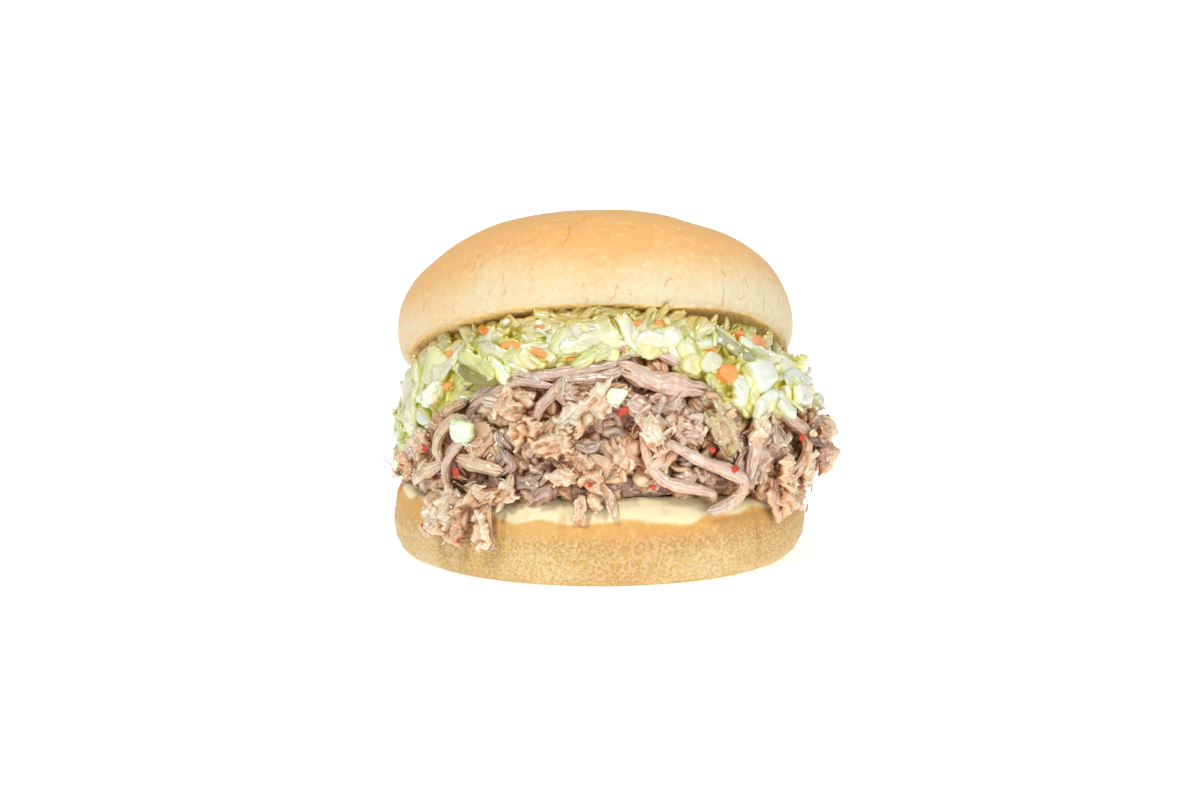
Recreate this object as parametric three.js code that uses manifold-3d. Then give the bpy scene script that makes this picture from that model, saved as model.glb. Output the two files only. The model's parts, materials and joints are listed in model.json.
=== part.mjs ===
// A pulled pork sandwich: a heel bun, a heap of pulled pork, a layer of coleslaw and a domed
// crown bun that leans back. Millimetres, +Z up, the front faces -Y, and the origin is the
// middle of the heel's flat bottom. Angles run round +Z from the front, positive to the right.
import * as THREE from 'three';
import { mergeVertices } from 'three/addons/utils/BufferGeometryUtils.js';
import Module from 'manifold-3d';

const wasm = await Module();
wasm.setup();

const { lerp, clamp, smoothstep, degToRad } = THREE.MathUtils;

// ---------------------------------------------------------------- driving dimensions
const GAP = 0.35; // clearance between sub-parts that rest on each other

const HEEL = {
  radius: 55.2,
  foot: 50.5, // radius of the flat bottom
  widest: 8.5, // height of the widest ring
  crust: 18.2, // height where the crust ends and the cut face starts
  bed: 18.6, // height of the cut face under the pork
  lip: 3.6, // how far the cut face swells up at the front edge
  lipRadius: 47.5,
  lipWidth: 4.5,
};

// Faces round each turned body, and along the dome of the crown.
const FACES = { heel: 40, crown: 42, dome: 12, pork: 40, slaw: 34 };

const CROWN = {
  radius: 52.6,
  rise: 27.6, // dome above its widest ring
  skirt: 7.0, // side below the widest ring, down to the cut face
  cut: 49.1, // radius of the cut face
  power: 2.34, // squareness of the dome
  lean: degToRad(22),
  droop: 2.0, // how far the left and right sides hang
  lift: 3.2, // how far the rim is pushed up at the right front
  centre: new THREE.Vector3(-1.3, 0, 59.4),
};

// The filling's edge round the sandwich, as [angle, millimetres].
const PORK_TOP = [[-180, 24.5], [-150, 25.5], [-115, 28.5], [-75, 32.0], [-60, 38.0], [-45, 45.0],
  [-28, 53.0], [-10, 55.5], [8, 59.0], [18, 58.0], [30, 51.5], [42, 43.5], [75, 42.5],
  [105, 37.0], [140, 29.0]];
const PORK_REACH = [[-180, 51.0], [-135, 51.5], [-90, 54.0], [-50, 54.8], [0, 54.5], [40, 56.5],
  [75, 61.0], [100, 58.5], [140, 53.5]];
const SLAW_REACH = [[-180, 46.5], [-120, 48.5], [-80, 53.5], [-50, 52.0], [-20, 50.5], [15, 50.5],
  [40, 53.5], [75, 57.0], [105, 52.0], [140, 47.5]];
const SLAW_EDGE_DROP = [[-180, 1.5], [-60, 2.5], [-20, 1.2], [10, 1.2], [48, 6.5], [85, 3.0]];

// How joined pieces are tidied: the shortest edge kept in each heap, and after the neighbours
// are cut away from it.
const SEAM = { pork: 1.1, slaw: 0.75, trimmed: 0.28, passes: 12, fold: 0.35 };
const PORK = { foot: 17.5, middle: 41.5, skin: 3.2, waist: 0.10, core: 0.985 };
const SLAW = { rim: 46.0, skin: 1.2 };

// ---------------------------------------------------------------- helpers
// A repeatable scatter value from 0 to 1, for item i and quality k.
function chance(i, k) {
  const value = Math.sin(i * 12.9898 + k * 78.233) * 43758.5453;
  return value - Math.floor(value);
}

// The smooth value at an angle, from [angle, value] pairs that close on themselves.
function around(pairs, degrees) {
  const turn = ((degrees + 180) % 360 + 360) % 360 - 180;
  const next = pairs.findIndex(([angle]) => angle > turn);
  const [endAngle, endValue] = next < 0 ? [pairs[0][0] + 360, pairs[0][1]] : pairs[next];
  const [startAngle, startValue] = pairs[(next < 0 ? pairs.length : next) - 1];
  return lerp(startValue, endValue, smoothstep(turn, startAngle, endAngle));
}

// A vertical-walled position from a radius, an angle in degrees and a height.
function polar(radius, degrees, height) {
  const angle = degToRad(degrees);
  return new THREE.Vector3(radius * Math.sin(angle), -radius * Math.cos(angle), height);
}

// A solid from its corners and its triangles of corner numbers.
function meshed(points, triangles) {
  const used = [...new Set(triangles.flat())];
  const number = new Map(used.map((corner, i) => [corner, i]));
  return new wasm.Manifold(new wasm.Mesh({
    numProp: 3,
    vertProperties: new Float32Array(used.flatMap((corner) => points[corner].toArray())),
    triVerts: new Uint32Array(triangles.flat().map((corner) => number.get(corner))),
  }));
}

// The closed solid of a geometry whose merged vertices are each moved by place(vertex).
function solid(geometry, place) {
  geometry.deleteAttribute('normal');
  geometry.deleteAttribute('uv');
  const merged = mergeVertices(geometry, 1e-4);
  const source = merged.getAttribute('position');
  const points = [];
  for (let i = 0; i < source.count; i += 1) {
    points.push(place(new THREE.Vector3().fromBufferAttribute(source, i)));
  }
  const triangles = [];
  let volume = 0;
  for (let i = 0; i < merged.index.count; i += 3) {
    const [a, b, c] = [0, 1, 2].map((k) => merged.index.getX(i + k));
    if (a === b || b === c || c === a) continue;
    triangles.push([a, b, c]);
    volume += points[a].dot(new THREE.Vector3().crossVectors(points[b], points[c]));
  }
  return meshed(points, volume > 0 ? triangles : triangles.map(([a, b, c]) => [a, c, b]));
}

// A body turned round Z from [radius, height] points, each put in place by its angle too.
function turned(profile, segments, place) {
  const points = profile.map(([r, z]) => new THREE.Vector2(r, z));
  return solid(new THREE.LatheGeometry(points, segments), (v) => {
    const degrees = THREE.MathUtils.radToDeg(Math.atan2(v.x, v.z));
    return place(Math.hypot(v.x, v.z), degrees, v.y);
  });
}

// A mesh of the finished solid in its own colour.
function part(name, body, color, roughness) {
  const mesh = body.getMesh();
  const geometry = new THREE.BufferGeometry();
  geometry.setAttribute('position', new THREE.BufferAttribute(mesh.vertProperties, 3));
  geometry.setIndex(new THREE.BufferAttribute(mesh.triVerts, 1));
  const material = new THREE.MeshStandardMaterial({ color, roughness, metalness: 0 });
  const result = new THREE.Mesh(geometry, material);
  result.name = name;
  return result;
}

// Splits triangles into shells that share no corner, the one with most volume first.
function shells(points, triangles) {
  const owner = points.map((_, i) => i);
  const find = (i) => {
    while (owner[i] !== i) i = owner[i] = owner[owner[i]];
    return i;
  };
  for (const [a, b, c] of triangles) {
    owner[find(b)] = find(a);
    owner[find(c)] = find(a);
  }
  const groups = new Map();
  for (const triangle of triangles) {
    const key = find(triangle[0]);
    const shell = groups.get(key) ?? { triangles: [], volume: 0 };
    const [a, b, c] = triangle.map((k) => points[k]);
    shell.volume += a.dot(new THREE.Vector3().crossVectors(b, c));
    shell.triangles.push(triangle);
    groups.set(key, shell);
  }
  return [...groups.values()].sort((a, b) => b.volume - a.volume);
}

// Closes up edges shorter than a limit, each to its middle, where that folds nothing over.
function closeShortEdges(points, triangles, limit) {
  const normal = (corners) => new THREE.Triangle(...corners).getNormal(new THREE.Vector3());
  let live = triangles;
  for (let pass = 0; pass < SEAM.passes; pass += 1) {
    const fans = points.map(() => []);
    live.forEach((triangle) => triangle.forEach((corner) => fans[corner].push(triangle)));
    const ring = (a) => new Set(fans[a].flat().filter((corner) => corner !== a));
    const touched = new Set();
    const merged = new Map();
    for (const triangle of live) {
      for (let k = 0; k < 3; k += 1) {
        const [a, b] = [triangle[k], triangle[(k + 1) % 3]];
        if (points[a].distanceTo(points[b]) > limit) continue;
        const [ringA, ringB] = [ring(a), ring(b)];
        const near = [...ringA, ...ringB];
        if (near.some((corner) => touched.has(corner))) continue;
        if ([...ringA].filter((corner) => ringB.has(corner)).length !== 2) continue;
        const middle = points[a].clone().lerp(points[b], 0.5);
        const moved = [...fans[a], ...fans[b]].filter((t) => !(t.includes(a) && t.includes(b)));
        const folds = moved.some((t) => {
          const before = t.map((corner) => points[corner]);
          const after = t.map((corner) => (corner === a || corner === b ? middle : points[corner]));
          return normal(before).dot(normal(after)) < SEAM.fold;
        });
        if (folds) continue;
        points[a].copy(middle);
        merged.set(b, a);
        near.forEach((corner) => touched.add(corner));
      }
    }
    if (merged.size === 0) break;
    live = live.map((t) => t.map((corner) => merged.get(corner) ?? corner))
      .filter(([a, b, c]) => a !== b && b !== c && c !== a);
  }
  return live;
}

const joined = (bodies) => bodies.reduce((sum, body) => sum.add(body));

// The outer shell of joined pieces, without loose scraps, sealed hollows or tiny edges.
function tidied(body, shortest) {
  const mesh = body.getMesh();
  const points = [];
  for (let i = 0; i < mesh.vertProperties.length; i += 3) {
    points.push(new THREE.Vector3().fromArray(mesh.vertProperties, i));
  }
  const triangles = [];
  for (let i = 0; i < mesh.triVerts.length; i += 3) {
    triangles.push([...mesh.triVerts.slice(i, i + 3)]);
  }
  const outer = shells(points, triangles)[0].triangles;
  return meshed(points, closeShortEdges(points, outer, shortest));
}

// One body of a core and its pieces, kept clear of the neighbours.
function fused(pieces, shortest, neighbours) {
  const heap = tidied(joined(pieces), shortest);
  return tidied(heap.subtract(neighbours), SEAM.trimmed);
}

// ---------------------------------------------------------------- the buns
// Height of the heel's cut face, which swells up in a soft lip along its front edge.
function heelBed(radius, degrees) {
  const front = smoothstep(degrees, -48, -15) * (1 - smoothstep(degrees, 22, 66));
  const ring = Math.exp(-(((radius - HEEL.lipRadius) / HEEL.lipWidth) ** 2));
  return HEEL.bed + HEEL.lip * front * ring;
}

function heelBun(grow = 0) {
  const side = [[HEEL.foot, 0], [53.2, 1.6], [54.8, 4.8], [HEEL.radius, HEEL.widest],
    [54.7, 13], [53.9, HEEL.crust - 2], [52.6, HEEL.crust]];
  const bed = [50.3, HEEL.lipRadius, 43.5, 36, 18, 0].map((r) => [r, HEEL.bed]);
  return turned([[0, 0], [30, 0], ...side, ...bed], FACES.heel, (r, degrees, z) => {
    const uneven = 1 + 0.006 * Math.sin(degToRad(3 * degrees + 40)) * (z / HEEL.bed);
    const top = z > HEEL.crust + 0.1 ? heelBed(r, degrees) : z;
    const end = z < 0.1 ? -grow : top + grow * (z / HEEL.bed);
    return polar(r * uneven + (r > 0 ? grow : 0), degrees, end);
  });
}

// Turns a point of the upright crown to its leaning place on the filling.
function leaned(x, y, z) {
  const sagged = z - CROWN.droop * (x / CROWN.radius) ** 2;
  return new THREE.Vector3(x, y, sagged)
    .applyAxisAngle(new THREE.Vector3(1, 0, 0), -CROWN.lean)
    .add(CROWN.centre);
}

// How far the crown is pushed up at a point, most on the right front of its rim.
function rimLift(radius, degrees, z) {
  const right = smoothstep(degrees, 15, 52) * (1 - smoothstep(degrees, 78, 125));
  const low = 1 - (z + CROWN.skirt) / (CROWN.rise + CROWN.skirt);
  return CROWN.lift * right * low * smoothstep(radius, 20, CROWN.cut);
}

function crownBun(grow = 0) {
  const profile = [];
  for (const r of [0, 18, 32, 42, CROWN.cut - 1.4]) profile.push([r, -CROWN.skirt]);
  for (const w of [0.93, 0.62, 0.3]) {
    profile.push([lerp(CROWN.cut, CROWN.radius, Math.sqrt(1 - w * w)), -CROWN.skirt * w]);
  }
  for (let k = 0; k <= FACES.dome; k += 1) {
    const turn = (Math.PI / 2) * (1 - k / FACES.dome);
    const r = CROWN.radius * Math.sin(turn) ** (2 / CROWN.power);
    profile.push([k === FACES.dome ? 0 : r, CROWN.rise * Math.cos(turn) ** (2 / CROWN.power)]);
  }
  return turned(profile, FACES.crown, (r, degrees, z) => {
    const height = z + rimLift(r, degrees, z);
    const swell = z < 0 ? -grow : grow;
    const at = polar(r + (r > 0 ? grow : 0), degrees, height + swell);
    return leaned(at.x, at.y, at.z);
  });
}

// Height of the crown's cut face above a point.
function crownUnder(x, y) {
  const slope = Math.tan(CROWN.lean);
  const foot = -CROWN.skirt;
  const middle = CROWN.centre.z + foot / Math.cos(CROWN.lean) - CROWN.droop * (x / CROWN.radius) ** 2;
  const radius = Math.hypot(x - CROWN.centre.x, y);
  const degrees = THREE.MathUtils.radToDeg(Math.atan2(x, -y));
  return middle - slope * y + rimLift(Math.min(radius, CROWN.cut), degrees, foot);
}

// ---------------------------------------------------------------- the filling's cores
// The face between pork and slaw: the pork's top edge outside, a low middle inside.
function porkTop(radius, degrees) {
  const edge = around(PORK_TOP, degrees);
  const outward = smoothstep(radius, 0, around(PORK_REACH, degrees) * 0.9);
  return lerp(PORK.middle, edge, outward);
}

// Radius of the pork heap's outer face at an angle and a height.
function porkWall(degrees, height) {
  const share = clamp((height - PORK.foot) / (around(PORK_TOP, degrees) - PORK.foot), 0, 1);
  const bulge = 1 - PORK.waist * Math.abs(2 * share - 1) ** 2.2;
  const hang = lerp(56.4, 49, clamp((height - 17) / 10, 0, 1));
  return Math.max(around(PORK_REACH, degrees) * bulge, hang);
}

// Radius of the slaw's outer face, from its lower edge up to the crown's rim.
function slawWall(degrees, height) {
  const reach = around(SLAW_REACH, degrees);
  const low = around(PORK_TOP, degrees);
  const at = polar(reach, degrees, 0);
  const share = clamp((height - low) / (crownUnder(at.x, at.y) - low), 0, 1);
  return lerp(reach, SLAW.rim, share * share);
}

// A layer's unit profile: out along the bottom, up the wall and back in along the top.
function layerProfile(floor, wall) {
  const up = wall.map((s) => [1, s]);
  return [...floor.map((r) => [r, 0]), ...up, ...[...floor].reverse().map((r) => [r, 1])];
}

function lumps(degrees, height, size) {
  const a = degToRad(degrees);
  return size * (Math.sin(7 * a + height * 0.35) + Math.sin(11 * a - height * 0.5 + 1.7)) / 2;
}

function porkCore(grow = 0) {
  const profile = layerProfile([0, 0.4, 0.72, 0.93], [0, 0.12, 0.35, 0.65, 0.88, 1]);
  return turned(profile, FACES.pork, (r, degrees, s) => {
    const low = HEEL.bed + GAP - grow;
    const edge = around(PORK_TOP, degrees);
    const reach = porkWall(degrees, lerp(low + 3, edge, s)) * PORK.core - PORK.skin;
    const inset = s === 0 ? 0.94 : 1 - 0.06 * smoothstep(s, 0.8, 1);
    const radius = r * (reach * inset + lumps(degrees, s * 30, 1.4) + grow);
    const floor = heelBed(radius, degrees) + GAP - grow;
    const roof = porkTop(radius, degrees) - GAP / 2 + grow;
    return polar(radius, degrees, lerp(floor, roof, s));
  });
}

function slawCore(grow = 0) {
  const profile = layerProfile([0, 0.45, 0.78, 0.94], [0, 0.3, 0.65, 1]);
  return turned(profile, FACES.slaw, (r, degrees, s) => {
    const reach = lerp(around(SLAW_REACH, degrees), SLAW.rim, s * s) - SLAW.skin;
    const radius = r * (reach + lumps(degrees, s * 25, 0.6) + grow);
    const at = polar(radius, degrees, 0);
    const drop = around(SLAW_EDGE_DROP, degrees) * smoothstep(r, 0.78, 1);
    const floor = porkTop(radius, degrees) + GAP / 2 - grow;
    const roof = crownUnder(at.x, at.y) - GAP - 0.25 - drop + grow;
    return polar(radius, degrees, lerp(floor, Math.max(roof, floor + 2), s));
  });
}

// ---------------------------------------------------------------- pieces of the filling
// A smooth route through [angle, height] points at a distance off a wall.
function route(points, wall, lift) {
  return new THREE.CatmullRomCurve3(
    points.map(([degrees, z]) => polar(wall(degrees, z) + lift, degrees, z)),
    false,
    'centripetal',
  );
}

// A point beside a route: across it along the wall, and through it outwards.
function beside(curve, u, across, through) {
  const at = curve.getPoint(clamp(u, 0, 1));
  const tangent = curve.getTangent(clamp(u, 0, 1));
  const outward = new THREE.Vector3(at.x, at.y, 0).normalize();
  outward.addScaledVector(tangent, -outward.dot(tangent)).normalize();
  const side = new THREE.Vector3().crossVectors(tangent, outward);
  return at.addScaledVector(side, across).addScaledVector(outward, through)
    .addScaledVector(tangent, u < 0 ? u : Math.max(u - 1, 0));
}

// A pulled strand of meat: an oval rope that narrows to blunt ends.
function strand({ path, width, thick = width * 0.8, lift = 0, steps = 8 }) {
  const curve = route(path, porkWall, lift - thick / 2);
  return solid(new THREE.CylinderGeometry(1, 1, 1, 6, steps), (v) => {
    const u = 0.5 - v.y;
    const taper = 1 - 0.5 * Math.abs(2 * u - 1) ** 3;
    const uneven = 1 + 0.13 * Math.sin(u * 17 + path[0][0]);
    const size = 0.5 * taper * uneven;
    return beside(curve, u, v.x * width * size, v.z * thick * size);
  });
}

// A knobby chunk of meat, as wide, high and deep as its size.
function chunk({ at: [degrees, height], size: [wide, high, deep], lift = 0 }) {
  const centre = polar(porkWall(degrees, height) + lift - deep / 2, degrees, height);
  const outward = polar(1, degrees, 0);
  const side = polar(1, degrees + 90, 0);
  return solid(new THREE.IcosahedronGeometry(1, 1), (v) => {
    const knob = 1 + 0.17 * Math.sin(v.x * 5.3 + degrees) * Math.cos(v.y * 4.7 + v.z * 3 + height);
    return centre.clone()
      .addScaledVector(side, (v.x * wide * knob) / 2)
      .addScaledVector(outward, (v.y * deep * knob) / 2)
      .add(new THREE.Vector3(0, 0, (v.z * high * knob) / 2));
  });
}

// A shred of cabbage or carrot: a thin wavy leaf on the slaw's face, both faces alike.
function leaf({ path, width, thick = 1.1, lift = 0, wave = 0.5, steps = 4 }, grow = 0) {
  const curve = route(path, slawWall, -SLAW.skin);
  return solid(new THREE.BoxGeometry(1, 1, 1, steps, 1, 1), (v) => {
    const u = v.x + 0.5;
    const taper = 1 - 0.35 * Math.abs(2 * u - 1) ** 2;
    const arch = (lift + SLAW.skin) * Math.sin(Math.PI * u) ** 0.5;
    const ripple = arch + wave * Math.sin(u * 7 + path[0][0]);
    const across = v.y * (width * taper + 2 * grow);
    const end = v.x > 0.49 ? 1 + grow : v.x < -0.49 ? -grow : u;
    return beside(curve, end, across, v.z * (thick + 2 * grow) + ripple);
  });
}

// A diced bit of cabbage stem.
function dice({ at: [degrees, height], size: [wide, high, deep], lift = 0 }, grow = 0) {
  const centre = polar(slawWall(degrees, height) + lift, degrees, height);
  const spin = degrees * 0.7 + height;
  const outward = polar(1, degrees, 0);
  const side = polar(1, degrees + 90, 0);
  return solid(new THREE.IcosahedronGeometry(1, 0), (v) => {
    const skew = 1 + 0.2 * Math.sin(v.x * 4 + v.z * 5 + spin);
    return centre.clone()
      .addScaledVector(side, v.x * ((wide * skew) / 2 + grow))
      .addScaledVector(outward, v.y * ((deep * skew) / 2 + grow))
      .add(new THREE.Vector3(0, 0, v.z * ((high * skew) / 2 + grow)));
  });
}

// ---------------------------------------------------------------- the heap of pulled pork
// The strands that show at the front, by [angle, height] along each.
const FRONT_STRANDS = [
  { path: [[-39, 46], [-33, 50], [-25, 54], [-17, 53.5], [-8, 55], [2, 56.5], [8, 59]],
    width: 3.6, lift: 1.6, steps: 10 },
  { path: [[-11, 52.8], [-5, 53.2], [2, 54], [7, 55.7]], width: 3.2, lift: 1.6, steps: 5 },
  { path: [[6, 56], [12, 53.6], [20, 51.5], [29, 49.7]], width: 4.8, lift: 2.4, steps: 7 },
  { path: [[8, 59.2], [14, 59.8], [20, 57.8], [25, 54.8]], width: 2.8, lift: 1.2, steps: 6 },
  { path: [[17, 37.7], [26, 32.6], [34, 29.1], [39, 26], [39, 22.4], [34, 19.8], [29, 19]],
    width: 3.8, lift: 2.6, steps: 10 },
  { path: [[11, 43], [12, 35.4], [14, 30.5], [18, 27], [25, 25], [31, 23.2], [32, 20.8]],
    width: 3.2, lift: 1.4, steps: 9 },
  { path: [[-37, 37], [-42, 33], [-45, 28], [-46, 23]], width: 2.4, lift: 1.5, steps: 6 },
  { path: [[-39, 41.4], [-45, 40.5], [-48.5, 36.8], [-49, 33], [-47, 29.8]],
    width: 3.2, lift: 1.4, steps: 7 },
  { path: [[-47, 29], [-54, 26.2], [-63, 22.2]], width: 4, lift: 1.4, steps: 5 },
  { path: [[6, 50.5], [0, 47.2], [-7, 43.4], [-14, 39.2]], width: 7.5, thick: 5.2, lift: 1.8, steps: 6 },
  { path: [[-10, 53], [-13, 49.3], [-16, 46], [-17, 42.3]], width: 3.2, lift: 1.6, steps: 5 },
  { path: [[5, 49.5], [10, 46.6], [14, 42.4], [16, 37.3], [15, 32.5]], width: 5.8, lift: 1, steps: 7 },
  { path: [[55, 42.8], [47, 39.5], [44, 34.3], [42, 27.8]], width: 4.2, lift: 1.4, steps: 6 },
  { path: [[68, 36], [76, 31], [84, 26]], width: 4, lift: 1.4, steps: 5 },
  { path: [[58, 41.4], [64, 35.2], [63, 29.3], [59, 25]], width: 4, lift: 1, steps: 6 },
  { path: [[-39, 52.7], [-43, 48.8], [-44, 45.1]], width: 3, lift: 0.8, steps: 4 },
  { path: [[-44, 45], [-49, 42.4], [-56, 39.6]], width: 3, lift: 1, steps: 4 },
  { path: [[-35, 22], [-35.5, 16.1], [-36, 10.6]], width: 4, thick: 2.4, lift: 2.4, steps: 5 },
  { path: [[-32, 21], [-30, 16], [-28.5, 11]], width: 3.8, thick: 2.2, lift: 2.2, steps: 5 },
  { path: [[-38, 23.6], [-32, 22.4], [-26, 24.4], [-24, 28]], width: 3.6, lift: 1.6, steps: 6 },
  { path: [[30, 43.5], [34, 39.2], [36, 33.5]], width: 7, thick: 3.4, lift: 0.8, steps: 5 },
  { path: [[-11, 32], [-7, 30.4], [-3, 33], [1, 32], [1, 28]], width: 3.2, lift: 0.8, steps: 7 },
  { path: [[-1, 27], [2, 23.6], [3, 20.6]], width: 3.4, lift: 0.6, steps: 4 },
  { path: [[-42, 31.4], [-34, 30.2], [-27, 28.9]], width: 4.2, lift: 0.8, steps: 4 },
  { path: [[84, 33], [91, 28], [88, 23]], width: 3, lift: 1.2, steps: 5 },
];

// The chunks that show at the front, as wide, high and deep as given.
const FRONT_CHUNKS = [
  { at: [-26, 45], size: [15, 11, 9], lift: 1.2 },
  { at: [-18, 38.6], size: [8.5, 8, 8], lift: 1.4 },
  { at: [-18, 26.2], size: [14, 10.5, 9], lift: 0.6 },
  { at: [-61, 29.5], size: [11, 12, 9], lift: 0.8 },
  { at: [-43, 17.6], size: [12, 12, 5.6], lift: 3.4 },
  { at: [58, 22.8], size: [13.5, 15, 10], lift: 1.6 },
  { at: [24, 40.5], size: [11, 10.5, 8.5], lift: 0.8 },
  { at: [18, 47], size: [12, 8, 8], lift: 0.2 },
  { at: [-36, 35.5], size: [11, 8, 8], lift: 0 },
  { at: [-7, 35.6], size: [16, 8, 8], lift: 0.4 },
  { at: [6, 33], size: [12, 11, 8], lift: -0.4 },
  { at: [72, 38.5], size: [12, 10, 8], lift: 0.4 },
  { at: [28, 28.5], size: [13, 9, 7], lift: -0.8 },
  { at: [50, 31], size: [12, 11, 7], lift: -0.8 },
  { at: [-52, 36.5], size: [11, 9, 7], lift: 0 },
  { at: [-50, 25], size: [12, 8, 7], lift: -0.6 },
  { at: [-34, 40.6], size: [6.5, 6, 4.5], lift: 2 },
  { at: [-2, 24.6], size: [14, 7, 7], lift: -0.8 },
];

const SIDES = { from: 86, to: 290, strands: 18, chunks: 12, golden: 0.618034 };

// Where item i lies on the sides and back, with more items where the heap is higher.
function sidePlace(i) {
  const degrees = lerp(SIDES.from, SIDES.to, (i * SIDES.golden) % 1);
  const top = around(PORK_TOP, degrees);
  return [degrees, lerp(HEEL.bed + 2.4, top - 1.4, chance(i, 1)), top - HEEL.bed];
}

function sideStrand(i) {
  const [degrees, height, depth] = sidePlace(i);
  const reach = lerp(7, 13, chance(i, 2));
  const rise = lerp(-0.45, 0.45, chance(i, 3)) * depth;
  const bow = lerp(-3, 3, chance(i, 4));
  const low = HEEL.bed + 1.8;
  const top = HEEL.bed + depth - 0.6;
  const end = height + rise / 2;
  const heights = [height - rise / 2, height + bow, end + bow / 2, end - bow];
  const path = heights.map((z, k) => [degrees + reach * (k / 3 - 0.5) * 2, clamp(z, low, top)]);
  const [width, lift] = [lerp(3, 4.6, chance(i, 5)), lerp(0.2, 1.8, chance(i, 6))];
  return strand({ path, width, lift, steps: 5 });
}

function sideChunk(i) {
  const [degrees, height, depth] = sidePlace(i + 0.37);
  const size = lerp(8, 13, chance(i, 7));
  return chunk({ at: [degrees, height], size: [size, Math.min(size * 0.8, depth), 8], lift: 0.5 });
}

function porkPieces() {
  const count = (n, make) => Array.from({ length: n }, (_, i) => make(i + 1));
  return [
    ...FRONT_STRANDS.map(strand),
    ...FRONT_CHUNKS.map(chunk),
    ...count(SIDES.strands, sideStrand),
    ...count(SIDES.chunks, sideChunk),
  ];
}

// ---------------------------------------------------------------- the coleslaw
const FRONT_LEAVES = [
  { path: [[-58, 56], [-66, 47], [-78, 39]], width: 7, lift: 0.4 },
  { path: [[-62, 58], [-70, 50], [-73, 41], [-68, 33]], width: 5.5, lift: 1.8, steps: 6 },
  { path: [[-68, 54], [-78, 45], [-80, 36], [-74, 28]], width: 5, lift: 1.4, steps: 6 },
  { path: [[-50, 58], [-54, 52], [-62, 47]], width: 6, lift: 0.6 },
  { path: [[-45, 55.5], [-38, 54], [-31, 52.5]], width: 5.5, thick: 2.2, lift: 0.8 },
  { path: [[-46, 53], [-40, 51.5], [-33, 50.8]], width: 3.4, thick: 2, lift: 1.4 },
  { path: [[-40, 60.5], [-32, 58.6], [-24, 57]], width: 4.6, lift: 0.6 },
  { path: [[-30, 60.5], [-25, 61], [-19, 60], [-14, 58]], width: 2.2, thick: 1.2, lift: 1.6 },
  { path: [[-24, 64.5], [-16, 65.5], [-8, 65]], width: 4.5, lift: 0 },
  { path: [[-16, 61], [-8, 60.5], [-2, 58.4]], width: 5, lift: 0.6 },
  { path: [[-12, 61.5], [-5, 65], [3, 64.8]], width: 5.4, lift: 1.2, wave: 1 },
  { path: [[5, 69], [8, 64.5], [9, 60.6]], width: 5.4, thick: 1.6, lift: 0.8 },
  { path: [[12, 66], [17, 63.5], [20, 59.5]], width: 5, lift: 0.8 },
  { path: [[22, 66], [26, 62], [30, 57.5]], width: 6, lift: 0.4 },
  { path: [[32, 65], [41, 59.5], [51, 53.8]], width: 3, thick: 1.4, lift: 1 },
  { path: [[44, 62.5], [50, 60.6], [57, 57.5]], width: 3.4, thick: 1.4, lift: 1 },
  { path: [[46, 59], [58, 54], [72, 49], [80, 45]], width: 5, lift: 0.6, steps: 6 },
  { path: [[60, 51], [70, 47], [82, 41]], width: 6, lift: 1.2 },
];

const FRONT_DICE = [
  { at: [36, 53.6], size: [5.4, 5, 4], lift: 1.2 },
  { at: [49, 52], size: [10, 9, 7], lift: 0.6 },
  { at: [48, 44.8], size: [9, 7.5, 6], lift: 1.6 },
  { at: [63, 45.5], size: [9, 6, 6], lift: 1.2 },
  { at: [26, 56.5], size: [7, 6, 5], lift: 0.6 },
  { at: [14, 62.5], size: [7, 6, 5], lift: 0.6 },
  { at: [0, 60.2], size: [6, 5, 5], lift: 0.4 },
  { at: [-20, 57.5], size: [7, 5, 5], lift: 0.6 },
];

const SLAW_SIDES = { from: 84, to: 288, leaves: 13, dice: 7 };

function sideLeaf(i) {
  const degrees = lerp(SLAW_SIDES.from, SLAW_SIDES.to, (i * SIDES.golden) % 1);
  const low = around(PORK_TOP, degrees) + 0.8;
  const at = polar(SLAW.rim, degrees, 0);
  const high = crownUnder(at.x, at.y) - 1.2;
  const middle = lerp(low, high, chance(i, 11));
  const reach = lerp(5, 9, chance(i, 12));
  const rise = lerp(-0.6, 0.6, chance(i, 13)) * (high - low);
  const path = [-1, 0, 1].map((k) => [degrees + k * reach, clamp(middle + k * rise, low, high)]);
  const [width, lift] = [lerp(2.6, 5.4, chance(i, 14)), lerp(-0.2, 1.4, chance(i, 15))];
  return { path, width, lift, wave: 0.8, steps: 3 };
}

function sideDice(i) {
  const degrees = lerp(SLAW_SIDES.from, SLAW_SIDES.to, ((i + 0.4) * SIDES.golden) % 1);
  const at = polar(SLAW.rim, degrees, 0);
  const height = lerp(around(PORK_TOP, degrees) + 2, crownUnder(at.x, at.y) - 2, chance(i, 16));
  const size = lerp(4.5, 7.5, chance(i, 17));
  return { at: [degrees, height], size: [size, size * 0.8, size * 0.8], lift: 0.6 };
}

function slawPieces(grow = 0) {
  const count = (n, make) => Array.from({ length: n }, (_, i) => make(i + 1));
  const leaves = [...FRONT_LEAVES, ...count(SLAW_SIDES.leaves, sideLeaf)];
  const diced = [...FRONT_DICE, ...count(SLAW_SIDES.dice, sideDice)];
  return [...leaves.map((one) => leaf(one, grow)), ...diced.map((one) => dice(one, grow))];
}

// ---------------------------------------------------------------- assembly
const slawSpace = joined([slawCore(GAP), ...slawPieces(GAP)]);
const buns = heelBun(GAP).add(crownBun(GAP));

const pork = fused([porkCore(), ...porkPieces()], SEAM.pork, buns.add(slawSpace));
const slaw = fused([slawCore(), ...slawPieces()], SEAM.slaw, buns.add(porkCore(GAP)));

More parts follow.
